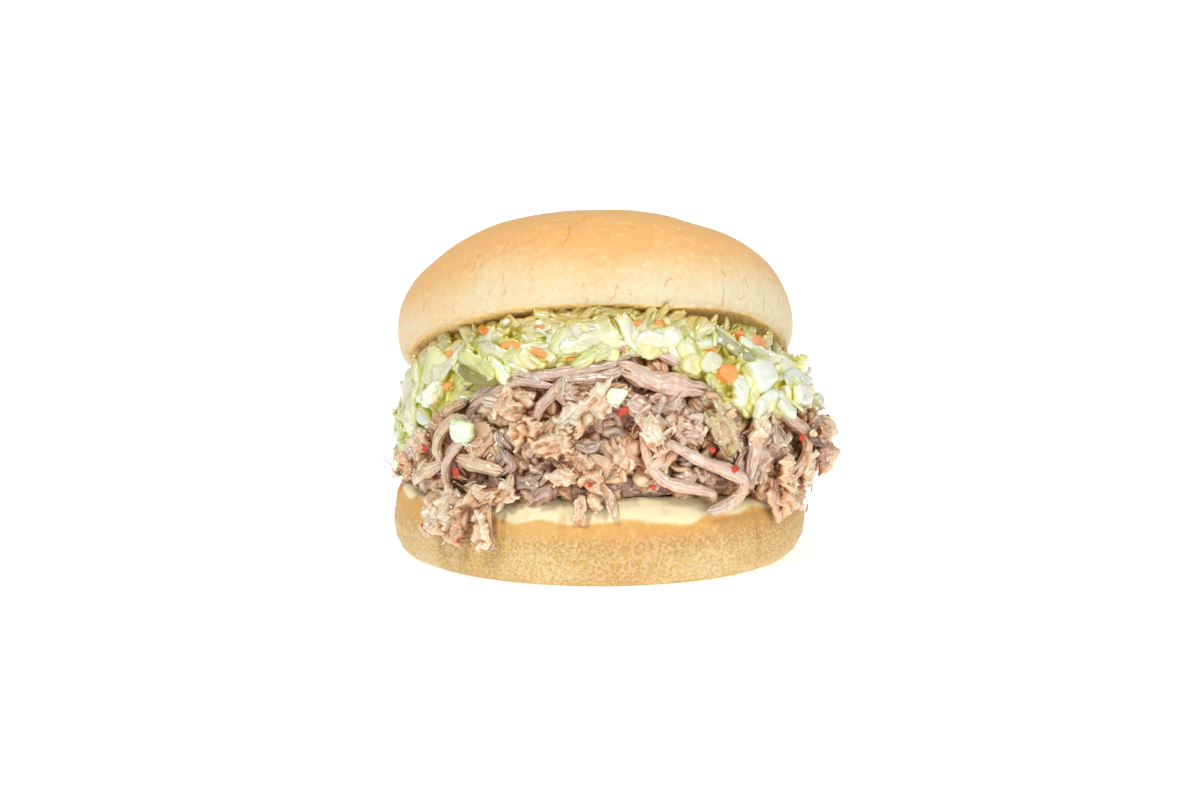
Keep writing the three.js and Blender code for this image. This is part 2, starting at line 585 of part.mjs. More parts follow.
const group = new THREE.Group();
group.add(
  part('heel_bun', heelBun(), 0xe6b877, 0.75),
  part('pulled_pork', pork, 0xcba58c, 0.5),
  part('coleslaw', slaw, 0xe9edcf, 0.35),
  part('crown_bun', crownBun(), 0xf3cd92, 0.6),
);

export default group;
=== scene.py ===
"""A pulled pork sandwich: soft buns, a heap of pulled pork and coleslaw, on a pale floor.

Sizes are in millimetres and angles in degrees, measured round +Z from the front (-Y) and
positive to the right. Meshes are made in metres.
"""

from __future__ import annotations

import json
import logging
import math
from dataclasses import dataclass, field
from enum import Enum
from functools import lru_cache
from typing import Any, Callable, Iterable, Sequence

import bpy
import numpy as np
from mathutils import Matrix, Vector

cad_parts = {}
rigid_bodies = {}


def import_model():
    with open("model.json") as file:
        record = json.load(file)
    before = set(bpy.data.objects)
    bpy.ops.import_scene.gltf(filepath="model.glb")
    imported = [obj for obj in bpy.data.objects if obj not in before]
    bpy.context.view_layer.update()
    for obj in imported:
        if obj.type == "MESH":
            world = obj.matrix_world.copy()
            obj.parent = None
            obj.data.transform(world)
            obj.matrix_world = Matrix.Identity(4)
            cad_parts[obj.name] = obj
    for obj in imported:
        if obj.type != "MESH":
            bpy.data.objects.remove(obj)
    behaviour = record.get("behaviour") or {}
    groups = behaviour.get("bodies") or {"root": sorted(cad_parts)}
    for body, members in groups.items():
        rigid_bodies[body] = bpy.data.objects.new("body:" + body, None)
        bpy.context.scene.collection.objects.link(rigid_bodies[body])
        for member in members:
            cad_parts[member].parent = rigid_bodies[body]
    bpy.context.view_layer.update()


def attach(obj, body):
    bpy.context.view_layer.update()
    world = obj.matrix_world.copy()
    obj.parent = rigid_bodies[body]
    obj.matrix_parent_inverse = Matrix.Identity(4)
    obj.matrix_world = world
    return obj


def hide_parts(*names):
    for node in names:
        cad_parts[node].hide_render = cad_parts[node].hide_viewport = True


LOG = logging.getLogger("sandwich")
MM = 0.001
GOLDEN = 0.618034
Pair = tuple[float, float]
Pairs = Sequence[Pair]
Array = np.ndarray
Triple = tuple[float, float, float]
Colour = Triple
Stops = Sequence[tuple[float, Colour]]
Thing = bpy.types.Object
Material = bpy.types.Material
NodeTree = bpy.types.NodeTree
UP = np.array([0.0, 0.0, 1.0])
FAR_FRONT = np.array([0.0, -1000.0, 0.0])
NO_TRIS = np.zeros((0, 3), int)


# --------------------------------------------------------------------------- numbers
def srgb(red: float, green: float, blue: float) -> Colour:
    """Turns display colour values from 0 to 255 into linear ones.

    Args:
        red: the red value.
        green: the green value.
        blue: the blue value.

    Returns:
        The three linear values.
    """
    parts = [v / 255 for v in (red, green, blue)]
    return tuple(p / 12.92 if p <= 0.04045 else ((p + 0.055) / 1.055) ** 2.4 for p in parts)


def lerp(low: Any, high: Any, share: Any) -> Any:
    """Goes a share of the way from low to high."""
    return low + (high - low) * share


def ease(value: Any, low: float = 0.0, high: float = 1.0) -> Array:
    """Rises smoothly from 0 at low to 1 at high."""
    t = np.clip((np.asarray(value, float) - low) / (high - low), 0.0, 1.0)
    return t * t * (3.0 - 2.0 * t)


def unit(vectors: Array) -> Array:
    """Scales each vector in the last axis to a length of 1."""
    return vectors / np.maximum(np.linalg.norm(vectors, axis=-1, keepdims=True), 1e-9)


def outward(points: Array) -> Array:
    """The way out from the middle at each point, or up for a point on the axis."""
    return unit(points * [1, 1, 0] + UP * 1e-3)


def level(points: Array) -> Array:
    """The level way out from the middle at each point."""
    return unit(points * [1, 1, 0])


def stacked(*parts: Any) -> Array:
    """Puts numbers or arrays side by side in a new last axis."""
    return np.stack(np.broadcast_arrays(*parts), -1)


def distances(line: Array) -> Array:
    """How far along a line each of its points lies."""
    return np.concatenate([[0.0], np.cumsum(np.linalg.norm(np.diff(line, axis=0), axis=1))])


def around(pairs: Pairs, degrees: Any) -> Array:
    """Reads a smooth closed run of values round the sandwich.

    Args:
        pairs: (angle, value) pairs in rising order from -180.
        degrees: the angles to read at.

    Returns:
        The value at each angle.
    """
    turn = (np.asarray(degrees, float) + 180.0) % 360.0 - 180.0
    angles = np.array([angle for angle, _ in pairs] + [pairs[0][0] + 360.0])
    values = np.array([value for _, value in pairs] + [pairs[0][1]])
    k = np.clip(np.searchsorted(angles, turn, side="right") - 1, 0, len(pairs) - 1)
    share = ease((turn - angles[k]) / (angles[k + 1] - angles[k]))
    return lerp(values[k], values[k + 1], share)


def polar(radius: Any, degrees: Any, height: Any) -> Array:
    """Places points by radius, angle and height."""
    angle = np.radians(np.asarray(degrees, float))
    return stacked(radius * np.sin(angle), -radius * np.cos(angle), height).astype(float)


def chance(i: float, k: int, low: float = 0.0, high: float = 1.0) -> float:
    """A repeatable scatter value from low to high, for item i and quality k."""
    value = math.sin(i * 12.9898 + k * 78.233) * 43758.5453
    return lerp(low, high, value - math.floor(value))


def smooth_route(points: Array, count: int) -> Array:
    """Runs a smooth curve through points.

    Args:
        points: the points, one per row.
        count: how many points the curve gets.

    Returns:
        The curve's points.
    """
    p = np.vstack([2 * points[0] - points[1], points, 2 * points[-1] - points[-2]])
    steps = np.maximum(np.linalg.norm(np.diff(p, axis=0), axis=1), 1e-6) ** 0.5
    t = np.concatenate([[0.0], np.cumsum(steps)])
    u = np.linspace(t[1], t[-2], count)
    k = np.clip(np.searchsorted(t, u, side="right") - 1, 1, len(p) - 3)

    def between(a: Array, b: Array, low: Array, high: Array) -> Array:
        """Blends two rows by where u lies between two knots."""
        share = ((u - low) / (high - low))[:, None]
        return a * (1 - share) + b * share

    a1 = between(p[k - 1], p[k], t[k - 1], t[k])
    a2 = between(p[k], p[k + 1], t[k], t[k + 1])
    a3 = between(p[k + 1], p[k + 2], t[k + 1], t[k + 2])
    b1 = between(a1, a2, t[k - 1], t[k + 1])
    b2 = between(a2, a3, t[k], t[k + 2])
    return between(b1, b2, t[k], t[k + 1])


def frames(route: Array) -> tuple[Array, Array, Array]:
    """The ways along, out of and across a route at each of its points."""
    along, out = unit(np.gradient(route, axis=0)), outward(route)
    out = unit(out - np.sum(out * along, -1, keepdims=True) * along)
    return along, out, np.cross(along, out)


def facing(centre: Array, spin: float) -> tuple[Array, Array, Array]:
    """The ways along, across and out of a piece that faces outwards.

    Args:
        centre: the piece's middle.
        spin: how far it is turned about the way out.

    Returns:
        The three ways.
    """
    out = outward(centre)
    side = unit(np.cross(UP, out))
    upright = np.cross(out, side)
    c, s = math.cos(spin), math.sin(spin)
    return side * c + upright * s, upright * c - side * s, out


class Grain:
    """Repeatable smooth noise in space."""

    def __init__(self, seed: int) -> None:
        """Fills the lattice table from a seed."""
        self.table = np.random.default_rng(seed).uniform(-1.0, 1.0, 4096)

    def value(self, points: Array) -> Array:
        """Reads noise from -1 to 1 at points whose lattice step is 1."""
        base = np.floor(points).astype(np.int64)
        f = points - base
        f = f * f * (3.0 - 2.0 * f)
        total = np.zeros(points.shape[:-1])
        for corner in range(8):
            step = np.array([corner & 1, (corner >> 1) & 1, (corner >> 2) & 1])
            cell = base + step
            key = cell[..., 0] * 73856093 ^ cell[..., 1] * 19349663 ^ cell[..., 2] * 83492791
            weight = np.prod(np.where(step == 1, f, 1.0 - f), axis=-1)
            total += self.table[key & 4095] * weight
        return total

    def layers(self, points: Array, octaves: int) -> Array:
        """Adds up finer and weaker noise, from about -1 to 1.

        Args:
            points: where to read.
            octaves: how many layers there are.

        Returns:
            The noise at each point.
        """
        total, size = 0.0, 1.0
        for k in range(octaves):
            total = total + self.value(points * 2.03**k + 17.0 * k) * size
            size *= 0.5
        return total / 1.4

    def ridges(self, points: Array) -> Array:
        """Sharp ridges, from 0 in the hollows to 1 on the crests."""
        return 1.0 - np.abs(self.value(points)) * 1.6


# --------------------------------------------------------------------------- the form
@dataclass(frozen=True)
class Form:
    """The sandwich's driving sizes, which its parts share."""

    gap: float = 0.35
    crown_radius: float = 52.6
    crown_rise: float = 27.6
    crown_skirt: float = 7.0
    crown_cut: float = 49.1
    crown_power: float = 2.34
    crown_lean: float = math.radians(22)
    crown_droop: float = 2.0
    crown_lift: float = 3.2
    crown_centre: Triple = (-1.3, 0.0, 59.4)
    heel_radius: float = 55.2
    heel_foot: float = 50.5
    heel_crust: float = 18.2
    heel_bed: float = 18.6
    heel_lip: float = 3.6
    lip_radius: float = 47.5
    lip_width: float = 4.5
    pork_foot: float = 17.5
    pork_middle: float = 41.5
    pork_waist: float = 0.10
    slaw_rim: float = 46.0
    pork_top: Pairs = (
        (-180, 24.5), (-150, 25.5), (-115, 28.5), (-75, 32.0), (-60, 38.0), (-45, 45.0),
        (-28, 53.0), (-10, 55.5), (8, 59.0), (18, 58.0), (30, 51.5), (42, 43.5), (75, 42.5),
        (105, 37.0), (140, 29.0),
    )
    pork_reach: Pairs = (
        (-180, 51.0), (-135, 51.5), (-90, 54.0), (-50, 54.8), (0, 54.5), (40, 56.5),
        (75, 61.0), (100, 58.5), (140, 53.5),
    )
    slaw_reach: Pairs = (
        (-180, 46.5), (-120, 48.5), (-80, 53.5), (-50, 52.0), (-20, 50.5), (15, 50.5),
        (40, 53.5), (75, 57.0), (105, 52.0), (140, 47.5),
    )
    slaw_edge_drop: Pairs = (
        (-180, 1.5), (-60, 2.5), (-20, 1.2), (10, 1.2), (48, 6.5), (85, 3.0),
    )

    def leaned(self, points: Array) -> Array:
        """Turns points of the upright crown to its leaning place."""
        x, y, z = points[..., 0], points[..., 1], points[..., 2]
        z = z - self.crown_droop * (x / self.crown_radius) ** 2
        c, s = math.cos(self.crown_lean), math.sin(self.crown_lean)
        turned = np.stack([x, y * c + z * s, z * c - y * s], axis=-1)
        return turned + np.array(self.crown_centre)

    def rim_lift(self, radius: Any, degrees: Any, z: Any) -> Array:
        """How far the crown is pushed up at its right front.

        Args:
            radius: how far out each spot lies.
            degrees: its angle.
            z: its height on the upright crown.

        Returns:
            The push at each spot.
        """
        right = ease(degrees, 15, 52) * (1 - ease(degrees, 78, 125))
        low = 1 - (z + self.crown_skirt) / (self.crown_rise + self.crown_skirt)
        return self.crown_lift * right * low * ease(radius, 20, self.crown_cut)

    def crown_under(self, x: Array, y: Array) -> Array:
        """Height of the crown's cut face above a point."""
        foot = -self.crown_skirt
        middle = self.crown_centre[2] + foot / math.cos(self.crown_lean)
        middle = middle - self.crown_droop * (x / self.crown_radius) ** 2
        radius = np.minimum(np.hypot(x - self.crown_centre[0], y), self.crown_cut)
        degrees = np.degrees(np.arctan2(x, -y))
        return middle - math.tan(self.crown_lean) * y + self.rim_lift(radius, degrees, foot)

    def bed(self, radius: Any, degrees: Any) -> Array:
        """Height of the heel's cut face, with its soft lip at the front."""
        front = ease(degrees, -48, -15) * (1 - ease(degrees, 22, 66))
        ring = np.exp(-(((radius - self.lip_radius) / self.lip_width) ** 2))
        return self.heel_bed + self.heel_lip * front * ring

    def pork_roof(self, radius: Any, degrees: Any) -> Array:
        """Height of the face between pork and slaw."""
        share = ease(radius / (around(self.pork_reach, degrees) * 0.9))
        return lerp(self.pork_middle, around(self.pork_top, degrees), share)

    def pork_wall(self, degrees: Any, height: Any) -> Array:
        """Radius of the pork's outer face."""
        top = around(self.pork_top, degrees)
        share = np.clip((height - self.pork_foot) / (top - self.pork_foot), 0, 1)
        bulge = 1 - self.pork_waist * np.abs(2 * share - 1) ** 2.2
        hang = lerp(56.4, 49.0, np.clip((np.asarray(height, float) - 17) / 10, 0, 1))
        return np.maximum(around(self.pork_reach, degrees) * bulge, hang)

    def slaw_wall(self, degrees: Any, height: Any) -> Array:
        """Radius of the slaw's outer face."""
        reach, low = around(self.slaw_reach, degrees), around(self.pork_top, degrees)
        at = polar(reach, degrees, 0.0)
        roof = self.crown_under(at[..., 0], at[..., 1])
        share = np.clip((height - low) / (roof - low), 0, 1)
        return lerp(reach, self.slaw_rim, share * share)


FORM = Form()


# --------------------------------------------------------------------------- meshes
def placed(name: str, data: Any) -> Thing:
    """Makes an object of some data and puts it in the scene."""
    made = bpy.data.objects.new(name, data)
    bpy.context.scene.collection.objects.link(made)
    return made


@dataclass
class Shell:
    """One closed shell, with its colour, its run and how open each corner lies."""

    points: Array
    loops: Array
    sizes: Array
    tint: Array
    run: Array
    open: Array


@dataclass
class Stock:
    """Collects closed shells and makes one mesh of them."""

    shells: list[Shell] = field(default_factory=list)

    def add(self, points: Array, quads: Array, tris: Array, tint: Array, run: Array) -> None:
        """Adds one shell, turned so that its faces point outwards.

        Args:
            points: its corners, in millimetres.
            quads: its four-sided faces.
            tris: its three-sided faces.
            tint: a colour for each corner, or one for all.
            run: for each corner, how far along and round the piece it lies.
        """
        fan = np.vstack([quads[:, [0, 1, 2]], quads[:, [0, 2, 3]], tris])
        a, b, c = (points[fan[:, k]] for k in range(3))
        if np.einsum("ij,ij->i", a, np.cross(b, c)).sum() < 0:
            quads, tris = quads[:, ::-1], tris[:, ::-1]
        loops = np.concatenate([quads.ravel(), tris.ravel()])
        sizes = np.repeat([4, 3], [len(quads), len(tris)])
        tint = np.broadcast_to(tint, (len(points), 3))
        self.shells.append(Shell(points, loops, sizes, tint, run, np.ones(len(points))))

    def grid(self, rings: Array, start: Array, end: Array, tint: Array, run: Array) -> None:
        """Adds a shell of rings that closes at a point at each end.

        Args:
            rings: points by ring and place round the ring.
            start: the point before the first ring.
            end: the point after the last ring.
            tint: a colour for each ring point, or one for all.
            run: how far along and round each ring point lies.
        """
        n, m = rings.shape[:2]
        ids = np.arange(n * m).reshape(n, m)
        after = np.roll(ids, -1, axis=1)
        quads = np.stack([ids[:-1], after[:-1], after[1:], ids[1:]], -1).reshape(-1, 4)
        tris = np.vstack([stacked(n * m, after[0], ids[0]), stacked(n * m + 1, ids[-1], after[-1])])
        tints = np.broadcast_to(tint, (n, m, 3)).reshape(-1, 3)
        self.add(np.vstack([rings.reshape(-1, 3), start, end]), quads, tris,
                 np.vstack([tints, tints[0], tints[-1]]),
                 np.vstack([run.reshape(-1, 3), run[0, 0], run[-1, 0]]))

    def paint_depth_shade(self, wall: Callable[[Array, Array], Array], dark: Colour, near: float,
               far: float) -> None:
        """Paints shade into what lies well inside a wall, darkening it, and marks what lies open.

        Args:
            wall: gives the wall's radius by angle and height.
            dark: the painted shade, what the colour is multiplied by at the far depth.
            near: the depth where the darkening starts.
            far: the depth where it is full.
        """
        for shell in self.shells:
            x, y, z = shell.points.T
            depth = wall(np.degrees(np.arctan2(x, -y)), z) - np.hypot(x, y)
            # Painted shade: the deeper a spot lies in the heap, the darker its colour.
            shell.tint = shell.tint * lerp(1.0, np.array(dark), ease(depth, near, far)[:, None])
            shell.open = 1.0 - ease(depth, near - 1.0, near + 0.5)

    def shade(self, crowding: Crowding, stops: Stops) -> None:
        """Paints shade and light into each spot's colour by how hidden it lies, and marks what lies open.

        Args:
            crowding: says how hidden a spot is.
            stops: (how hidden, the painted shade or light that the colour is multiplied by) in rising
                order.
        """
        place, colours = zip(*stops)
        ends = np.cumsum([len(shell.points) for shell in self.shells])[:-1]
        hidden = crowding.hidden(np.vstack([shell.points for shell in self.shells]))
        for shell, part in zip(self.shells, np.split(hidden, ends)):
            tint = [np.interp(part, place, channel) for channel in zip(*colours)]
            # Painted light and shade by how hidden the spot lies.
            shell.tint = shell.tint * np.stack(tint, -1)
            shell.open = shell.open * (1.0 - ease(part, 0.15, 0.45))

    def paint_roof_shade(self, roof: Callable[[Array, Array], Array], painted_light_and_shade: Colour, reach: float) -> None:
        """Paints a golden shade onto what lies close under a roof, as of its shadow and the light it
        bounces, and marks it as hidden.

        Args:
            roof: gives the roof's height by place.
            painted_light_and_shade: what the colour is multiplied by at the roof.
            reach: how far under the roof the tint fades out.
        """
        for shell in self.shells:
            x, y, z = shell.points.T
            under = roof(x, y) - z
            # Painted shade under the roof.
            shell.tint = shell.tint * lerp(np.array(painted_light_and_shade), 1.0, ease(under, 0, reach)[:, None])
            shell.open = shell.open * ease(under, 0, 0.7 * reach)

    def laid_flat(self, centre: Array) -> Stock:
        """Moves a piece built at the front to the middle, with its outer side up."""
        for shell in self.shells:
            shell.points = (shell.points - centre)[:, [0, 2, 1]] * [1, 1, -1]
        return self

    def make(self, name: str, finish: Material) -> Thing:
        """Makes the collected shells one object.

        Args:
            name: the object's name.
            finish: its material.

        Returns:
            The new object.
        """
        points, sizes, tint, run, opened = (
            np.concatenate([getattr(shell, part) for shell in self.shells])
            for part in ("points", "sizes", "tint", "run", "open"))
        starts = np.cumsum([0] + [len(shell.points) for shell in self.shells])
        loops = np.concatenate([shell.loops + start for shell, start in zip(self.shells, starts)])
        mesh = bpy.data.meshes.new(name)
        mesh.vertices.add(len(points))
        mesh.loops.add(len(loops))
        mesh.polygons.add(len(sizes))
        mesh.vertices.foreach_set("co", (points * MM).astype(np.float32).ravel())
        mesh.loops.foreach_set("vertex_index", loops.astype(np.int32))
        mesh.polygons.foreach_set("loop_start", (np.cumsum(sizes) - sizes).astype(np.int32))
        rgba = np.hstack([tint, np.ones((len(points), 1))])
        for label, kind, key, values in (
                ("Tint", "FLOAT_COLOR", "color", rgba), ("Run", "FLOAT_VECTOR", "vector", run),
                ("Open", "FLOAT", "value", opened)):
            carried = mesh.attributes.new(label, kind, "POINT")
            carried.data.foreach_set(key, values.astype(np.float32).ravel())
        mesh.update(calc_edges=True)
        mesh.validate()
        mesh.shade_smooth()
        mesh.materials.append(finish)
        LOG.info("%s: %d faces", name, len(sizes))
        return placed(name, mesh)


class Crowding:
    """How closely pieces crowd in front of a spot, read from a field of small cells."""

    cell = 0.7
    corner = np.array([-74.0, -74.0, -4.0])
    cells = (212, 212, 156)

    def __init__(self, stocks: Iterable[Stock]) -> None:
        """Marks the cells that the pieces' faces pass through, and softens them."""
        self.field = np.zeros(self.cells, np.float32)
        for stock in stocks:
            self.field[self.place(np.vstack([shell.points for shell in stock.shells]))] = 1.0
        for axis in range(3):
            self.field = (np.roll(self.field, 1, axis) + 2 * self.field
                          + np.roll(self.field, -1, axis)) / 4

    def place(self, points: Array) -> tuple[Array, ...]:
        """The cell that each point lies in."""
        spot = ((points - self.corner) / self.cell).astype(int)
        return tuple(np.clip(spot, 1, np.array(self.cells) - 2).T)

    def hidden(self, points: Array, steps: int = 8) -> Array:
        """How much of the view outwards and upwards is blocked at each point.

        Args:
            points: the points.
            steps: how many cells are read along each way out.

        Returns:
            The share that is blocked, from 0 to 1.
        """
        out = outward(points)
        side = np.cross(UP, out)
        blocked = np.zeros(len(points))
        for way, weight in ((out, 0.26), (out + UP, 0.26), (out + side, 0.17),
                            (out - side, 0.17), (0.5 * out + UP, 0.14)):
            way, clear = unit(way), np.ones(len(points))
            for k in range(steps):
                clear *= 1 - 0.6 * self.field[self.place(points + way * (1.1 + 0.8 * k))]
            blocked += weight * (1 - clear)
        return blocked


@lru_cache(maxsize=None)
def ball(cells: int) -> tuple[Array, Array]:
    """Points and quads of a unit ball, as an even grid on each side of a cube.

    Args:
        cells: how many cells lie along each side of the cube.

    Returns:
        The points and the quads.
    """
    line = np.tan(np.linspace(-1, 1, cells + 1) * math.pi / 4)
    u, v = np.meshgrid(line, line, indexing="ij")
    ids = np.arange(u.size).reshape(u.shape)
    cell = np.stack([ids[:-1, :-1], ids[1:, :-1], ids[1:, 1:], ids[:-1, 1:]], -1).reshape(-1, 4)
    sides, quads = [], []
    for axis in range(3):
        for sign in (-1.0, 1.0):
            side = np.roll(stacked(sign, u, v * sign), axis, axis=-1)
            sides.append(unit(side).reshape(-1, 3))
            quads.append(cell + len(quads) * u.size)
    _, first, place = np.unique(np.round(np.vstack(sides), 6), axis=0, return_index=True,
                                return_inverse=True)
    return np.vstack(sides)[first], place.reshape(-1)[np.vstack(quads)]


# --------------------------------------------------------------------------- pieces of food
@dataclass
class Shred:
    """One torn or cut strip that follows a route over the heap."""

    route: Array
    width: float
    thick: float
    tone: Colour
    seed: float
    rings: int = 40
    sides: int = 18
    groove: float = 0.08
    fray: float = 1.6
    lumpy: float = 0.3
    twist: float = 0.0
    square: float = 1.0
    taper: float = 0.45
    shade: float = 0.12

    def build(self, stock: Stock, grain: Grain) -> None:
        """Adds the strip.

        Args:
            stock: takes its shell.
            grain: makes it uneven.
        """
        route = smooth_route(self.route, self.rings)
        tangent, out, side = frames(route)
        along = distances(route)[:, None]
        length = along[-1]
        u = along / length
        place = stacked(along * 0.22, self.seed, 0.0)
        roll = self.twist * (u - 0.5) + 0.5 * grain.value(place + 31.0)
        across = side * np.cos(roll) + out * np.sin(roll)
        through = np.cross(across, tangent)
        through *= np.sign(np.sum(through * out, -1, keepdims=True) + 1e-9)
        ends = np.minimum(along, length - along)
        tip = np.clip(ends / (self.width * 0.45), 0, 1)
        rounded = np.sqrt(np.clip(1 - (1 - tip) ** 2, 0.02, 1))
        slim = 1 - self.taper * np.abs(2 * u - 1) ** 2.5
        wide = self.width / 2 * slim * rounded * (1 + 0.20 * grain.value(place * 1.7 + 5.0))
        deep = self.thick / 2 * slim ** 0.5 * rounded * (1 + 0.22 * grain.value(place * 2.3 + 9.0))
        a = np.linspace(0, 2 * np.pi, self.sides, endpoint=False)[None, :]
        c, s = (np.sign(v) * np.abs(v) ** self.square for v in (np.cos(a), np.sin(a)))
        lines = max(3, round(self.sides / 4.5))
        near_end = ease(1 - ends / (self.fray * 2.5 + 0.1)) if self.fray > 0 else 0 * ends
        phase = a * lines + self.seed * 3.1 + 1.4 * grain.value(place * 1.3)
        cord = 0.5 + 0.5 * np.cos(phase + 0.9 * np.sin(a + self.seed))
        grown = 1 - self.groove * (1 + 1.6 * near_end) * (1 - cord) ** 1.5
        rings = route[:, None] + across[:, None] * (wide * c * grown)[..., None]
        rings = rings + through[:, None] * (deep * s * grown)[..., None]
        torn = grain.value(stacked(a * lines / 6.28, self.seed, 0.0) * 1.9)
        pull = (near_end ** 2) * self.fray * (torn + 0.35 * cord)
        rings = rings + tangent[:, None] * (pull * np.sign(u - 0.5))[..., None]
        bumps = grain.value(rings * 0.45 + self.seed) + 0.5 * grain.value(rings * 1.25 + 3.0)
        axis = unit(rings - route[:, None])
        rings = rings + axis * (self.lumpy * bumps * rounded)[..., None]
        # Painted light and shade: darker in the grooves between the cords, lighter on the cords and on
        # the bumps.
        painted_light_and_shade = 1 + self.shade * (cord * grown - 0.75) + 0.10 * bumps
        run = stacked(along, a * (self.width + self.thick) / 4, self.seed * 7.0)
        stock.grid(rings, rings[0].mean(0), rings[-1].mean(0), painted_light_and_shade[..., None] * self.tone, run)


@dataclass
class Bundle:
    """Torn meat: strings lying side by side, which part at their ends."""

    route: Array
    width: float
    thick: float
    tone: Colour
    seed: float
    strings: int = 6
    splay: float = 0.5
    sides: int = 9
    rings: int = 22

    def build(self, stock: Stock, grain: Grain) -> None:
        """Adds the bundle's strings.

        Args:
            stock: takes their shells.
            grain: makes them uneven.
        """
        route, u = smooth_route(self.route, 16), np.linspace(0, 1, 16)
        _, out, side = frames(route)
        spread = 1 + self.splay * np.abs(2 * u - 1) ** 3
        for k in range(self.strings):
            place = (k + 0.5) / self.strings * 2 - 1 + chance(self.seed + k, 3, -0.12, 0.12)
            wander = grain.value(stacked(u * 2.2, self.seed, k * 3.7))
            x = (place * spread + 0.35 * wander) * self.width / 2
            dome = math.sqrt(max(0.0, 1 - 0.8 * place * place)) + chance(k, 5, -0.4, 0.3)
            y = dome * self.thick / 2 + 0.3 * self.thick * wander * np.abs(2 * u - 1)
            path = route + side * x[:, None] + out * y[:, None]
            first, last = int(3.4 * chance(self.seed + k, 1)), 16 - int(3.4 * chance(self.seed, 7 + k))
            wide = self.width / self.strings * chance(self.seed, k + 11, 1.5, 2.3)
            tone = np.array(self.tone) * chance(self.seed, k + 30, 0.88, 1.12)
            Shred(path[first:last], wide, wide * 0.75, tone, self.seed + k * 2.1,
                  rings=self.rings, sides=self.sides, groove=0.10, fray=0.5, lumpy=0.16,
                  taper=0.8, twist=0.4).build(stock, grain)


@dataclass
class Wad:
    """One knobby lump of short fibres pressed together, or a diced bit of stem."""

    centre: Array
    size: Triple
    tone: Colour
    seed: float
    cells: int = 16
    spin: float = 0.0
    knobs: float = 1.0
    fibrous: float = 1.0
    # The painted highlight on the crests of the relief.
    pale: Colour = srgb(246, 226, 196)

    def build(self, stock: Stock, grain: Grain) -> None:
        """Adds the lump.

        Args:
            stock: takes its shell.
            grain: makes it uneven.
        """
        points, quads = ball(self.cells)
        half = np.array(self.size) / 2
        at, key = points * half, self.seed * 1.7
        warp = np.stack([grain.value(at * 0.30 + key + turn) for turn in (0.0, 21.0, 43.0)], -1)
        near = at + 1.3 * warp + key
        big = 0.30 * half.mean() * grain.layers(points * 1.2 + key, 2)
        string = 0.6 * grain.ridges(near * [0.12, 0.85, 0.7])
        string = string + 0.4 * grain.ridges(near * [0.2, 1.7, 1.4] + 7.0)
        knob, crumb, fine = (np.abs(grain.value(near * scale + shift))
                             for scale, shift in ((0.42, 0.0), (1.05, 9.0), (2.1, 5.0)))
        relief = self.knobs * (2.3 * (knob - 0.25) + 0.40 * (crumb - 0.25) + 0.20 * (fine - 0.25))
        flow = near[:, 1] * 0.24 + near[:, 2] * 0.14 + 1.1 * grain.value(at * 0.22 + key + 60.0)
        flow = flow + 0.22 * grain.value(at * [0.5, 1.3, 1.0] + 80.0)
        ledge = flow - np.floor(flow)
        relief = relief + self.fibrous * (0.30 * (string - 0.5) + 0.8 * (ledge ** 1.4 - 0.42))
        axes = np.stack(facing(self.centre, self.spin))
        spots = self.centre + (at + unit(at) * (big + relief)[:, None]) @ axes
        rise = np.clip(0.40 + self.knobs * (1.1 * (knob - 0.2) + 0.4 * (crumb - 0.2))
                       + self.fibrous * (0.25 * (string - 0.5) + 0.3 * (ledge - 0.45)), 0, 1)[:, None]
        tone = np.array(self.tone)
        # Painted shade in the valleys of the relief, painted highlight on its crests.
        valley_shade = tone * lerp(1.0, np.array([0.76, 0.60, 0.46]), self.knobs)
        tint = lerp(valley_shade, tone, ease(rise, 0.0, 0.34))
        tint = lerp(tint, np.array(self.pale), 0.45 * self.knobs * ease(rise, 0.5, 1.0))
        run = stacked(at[:, 0], at[:, 1] + at[:, 2], self.seed * 7.0)
        stock.add(spots, quads, NO_TRIS, tint, run)


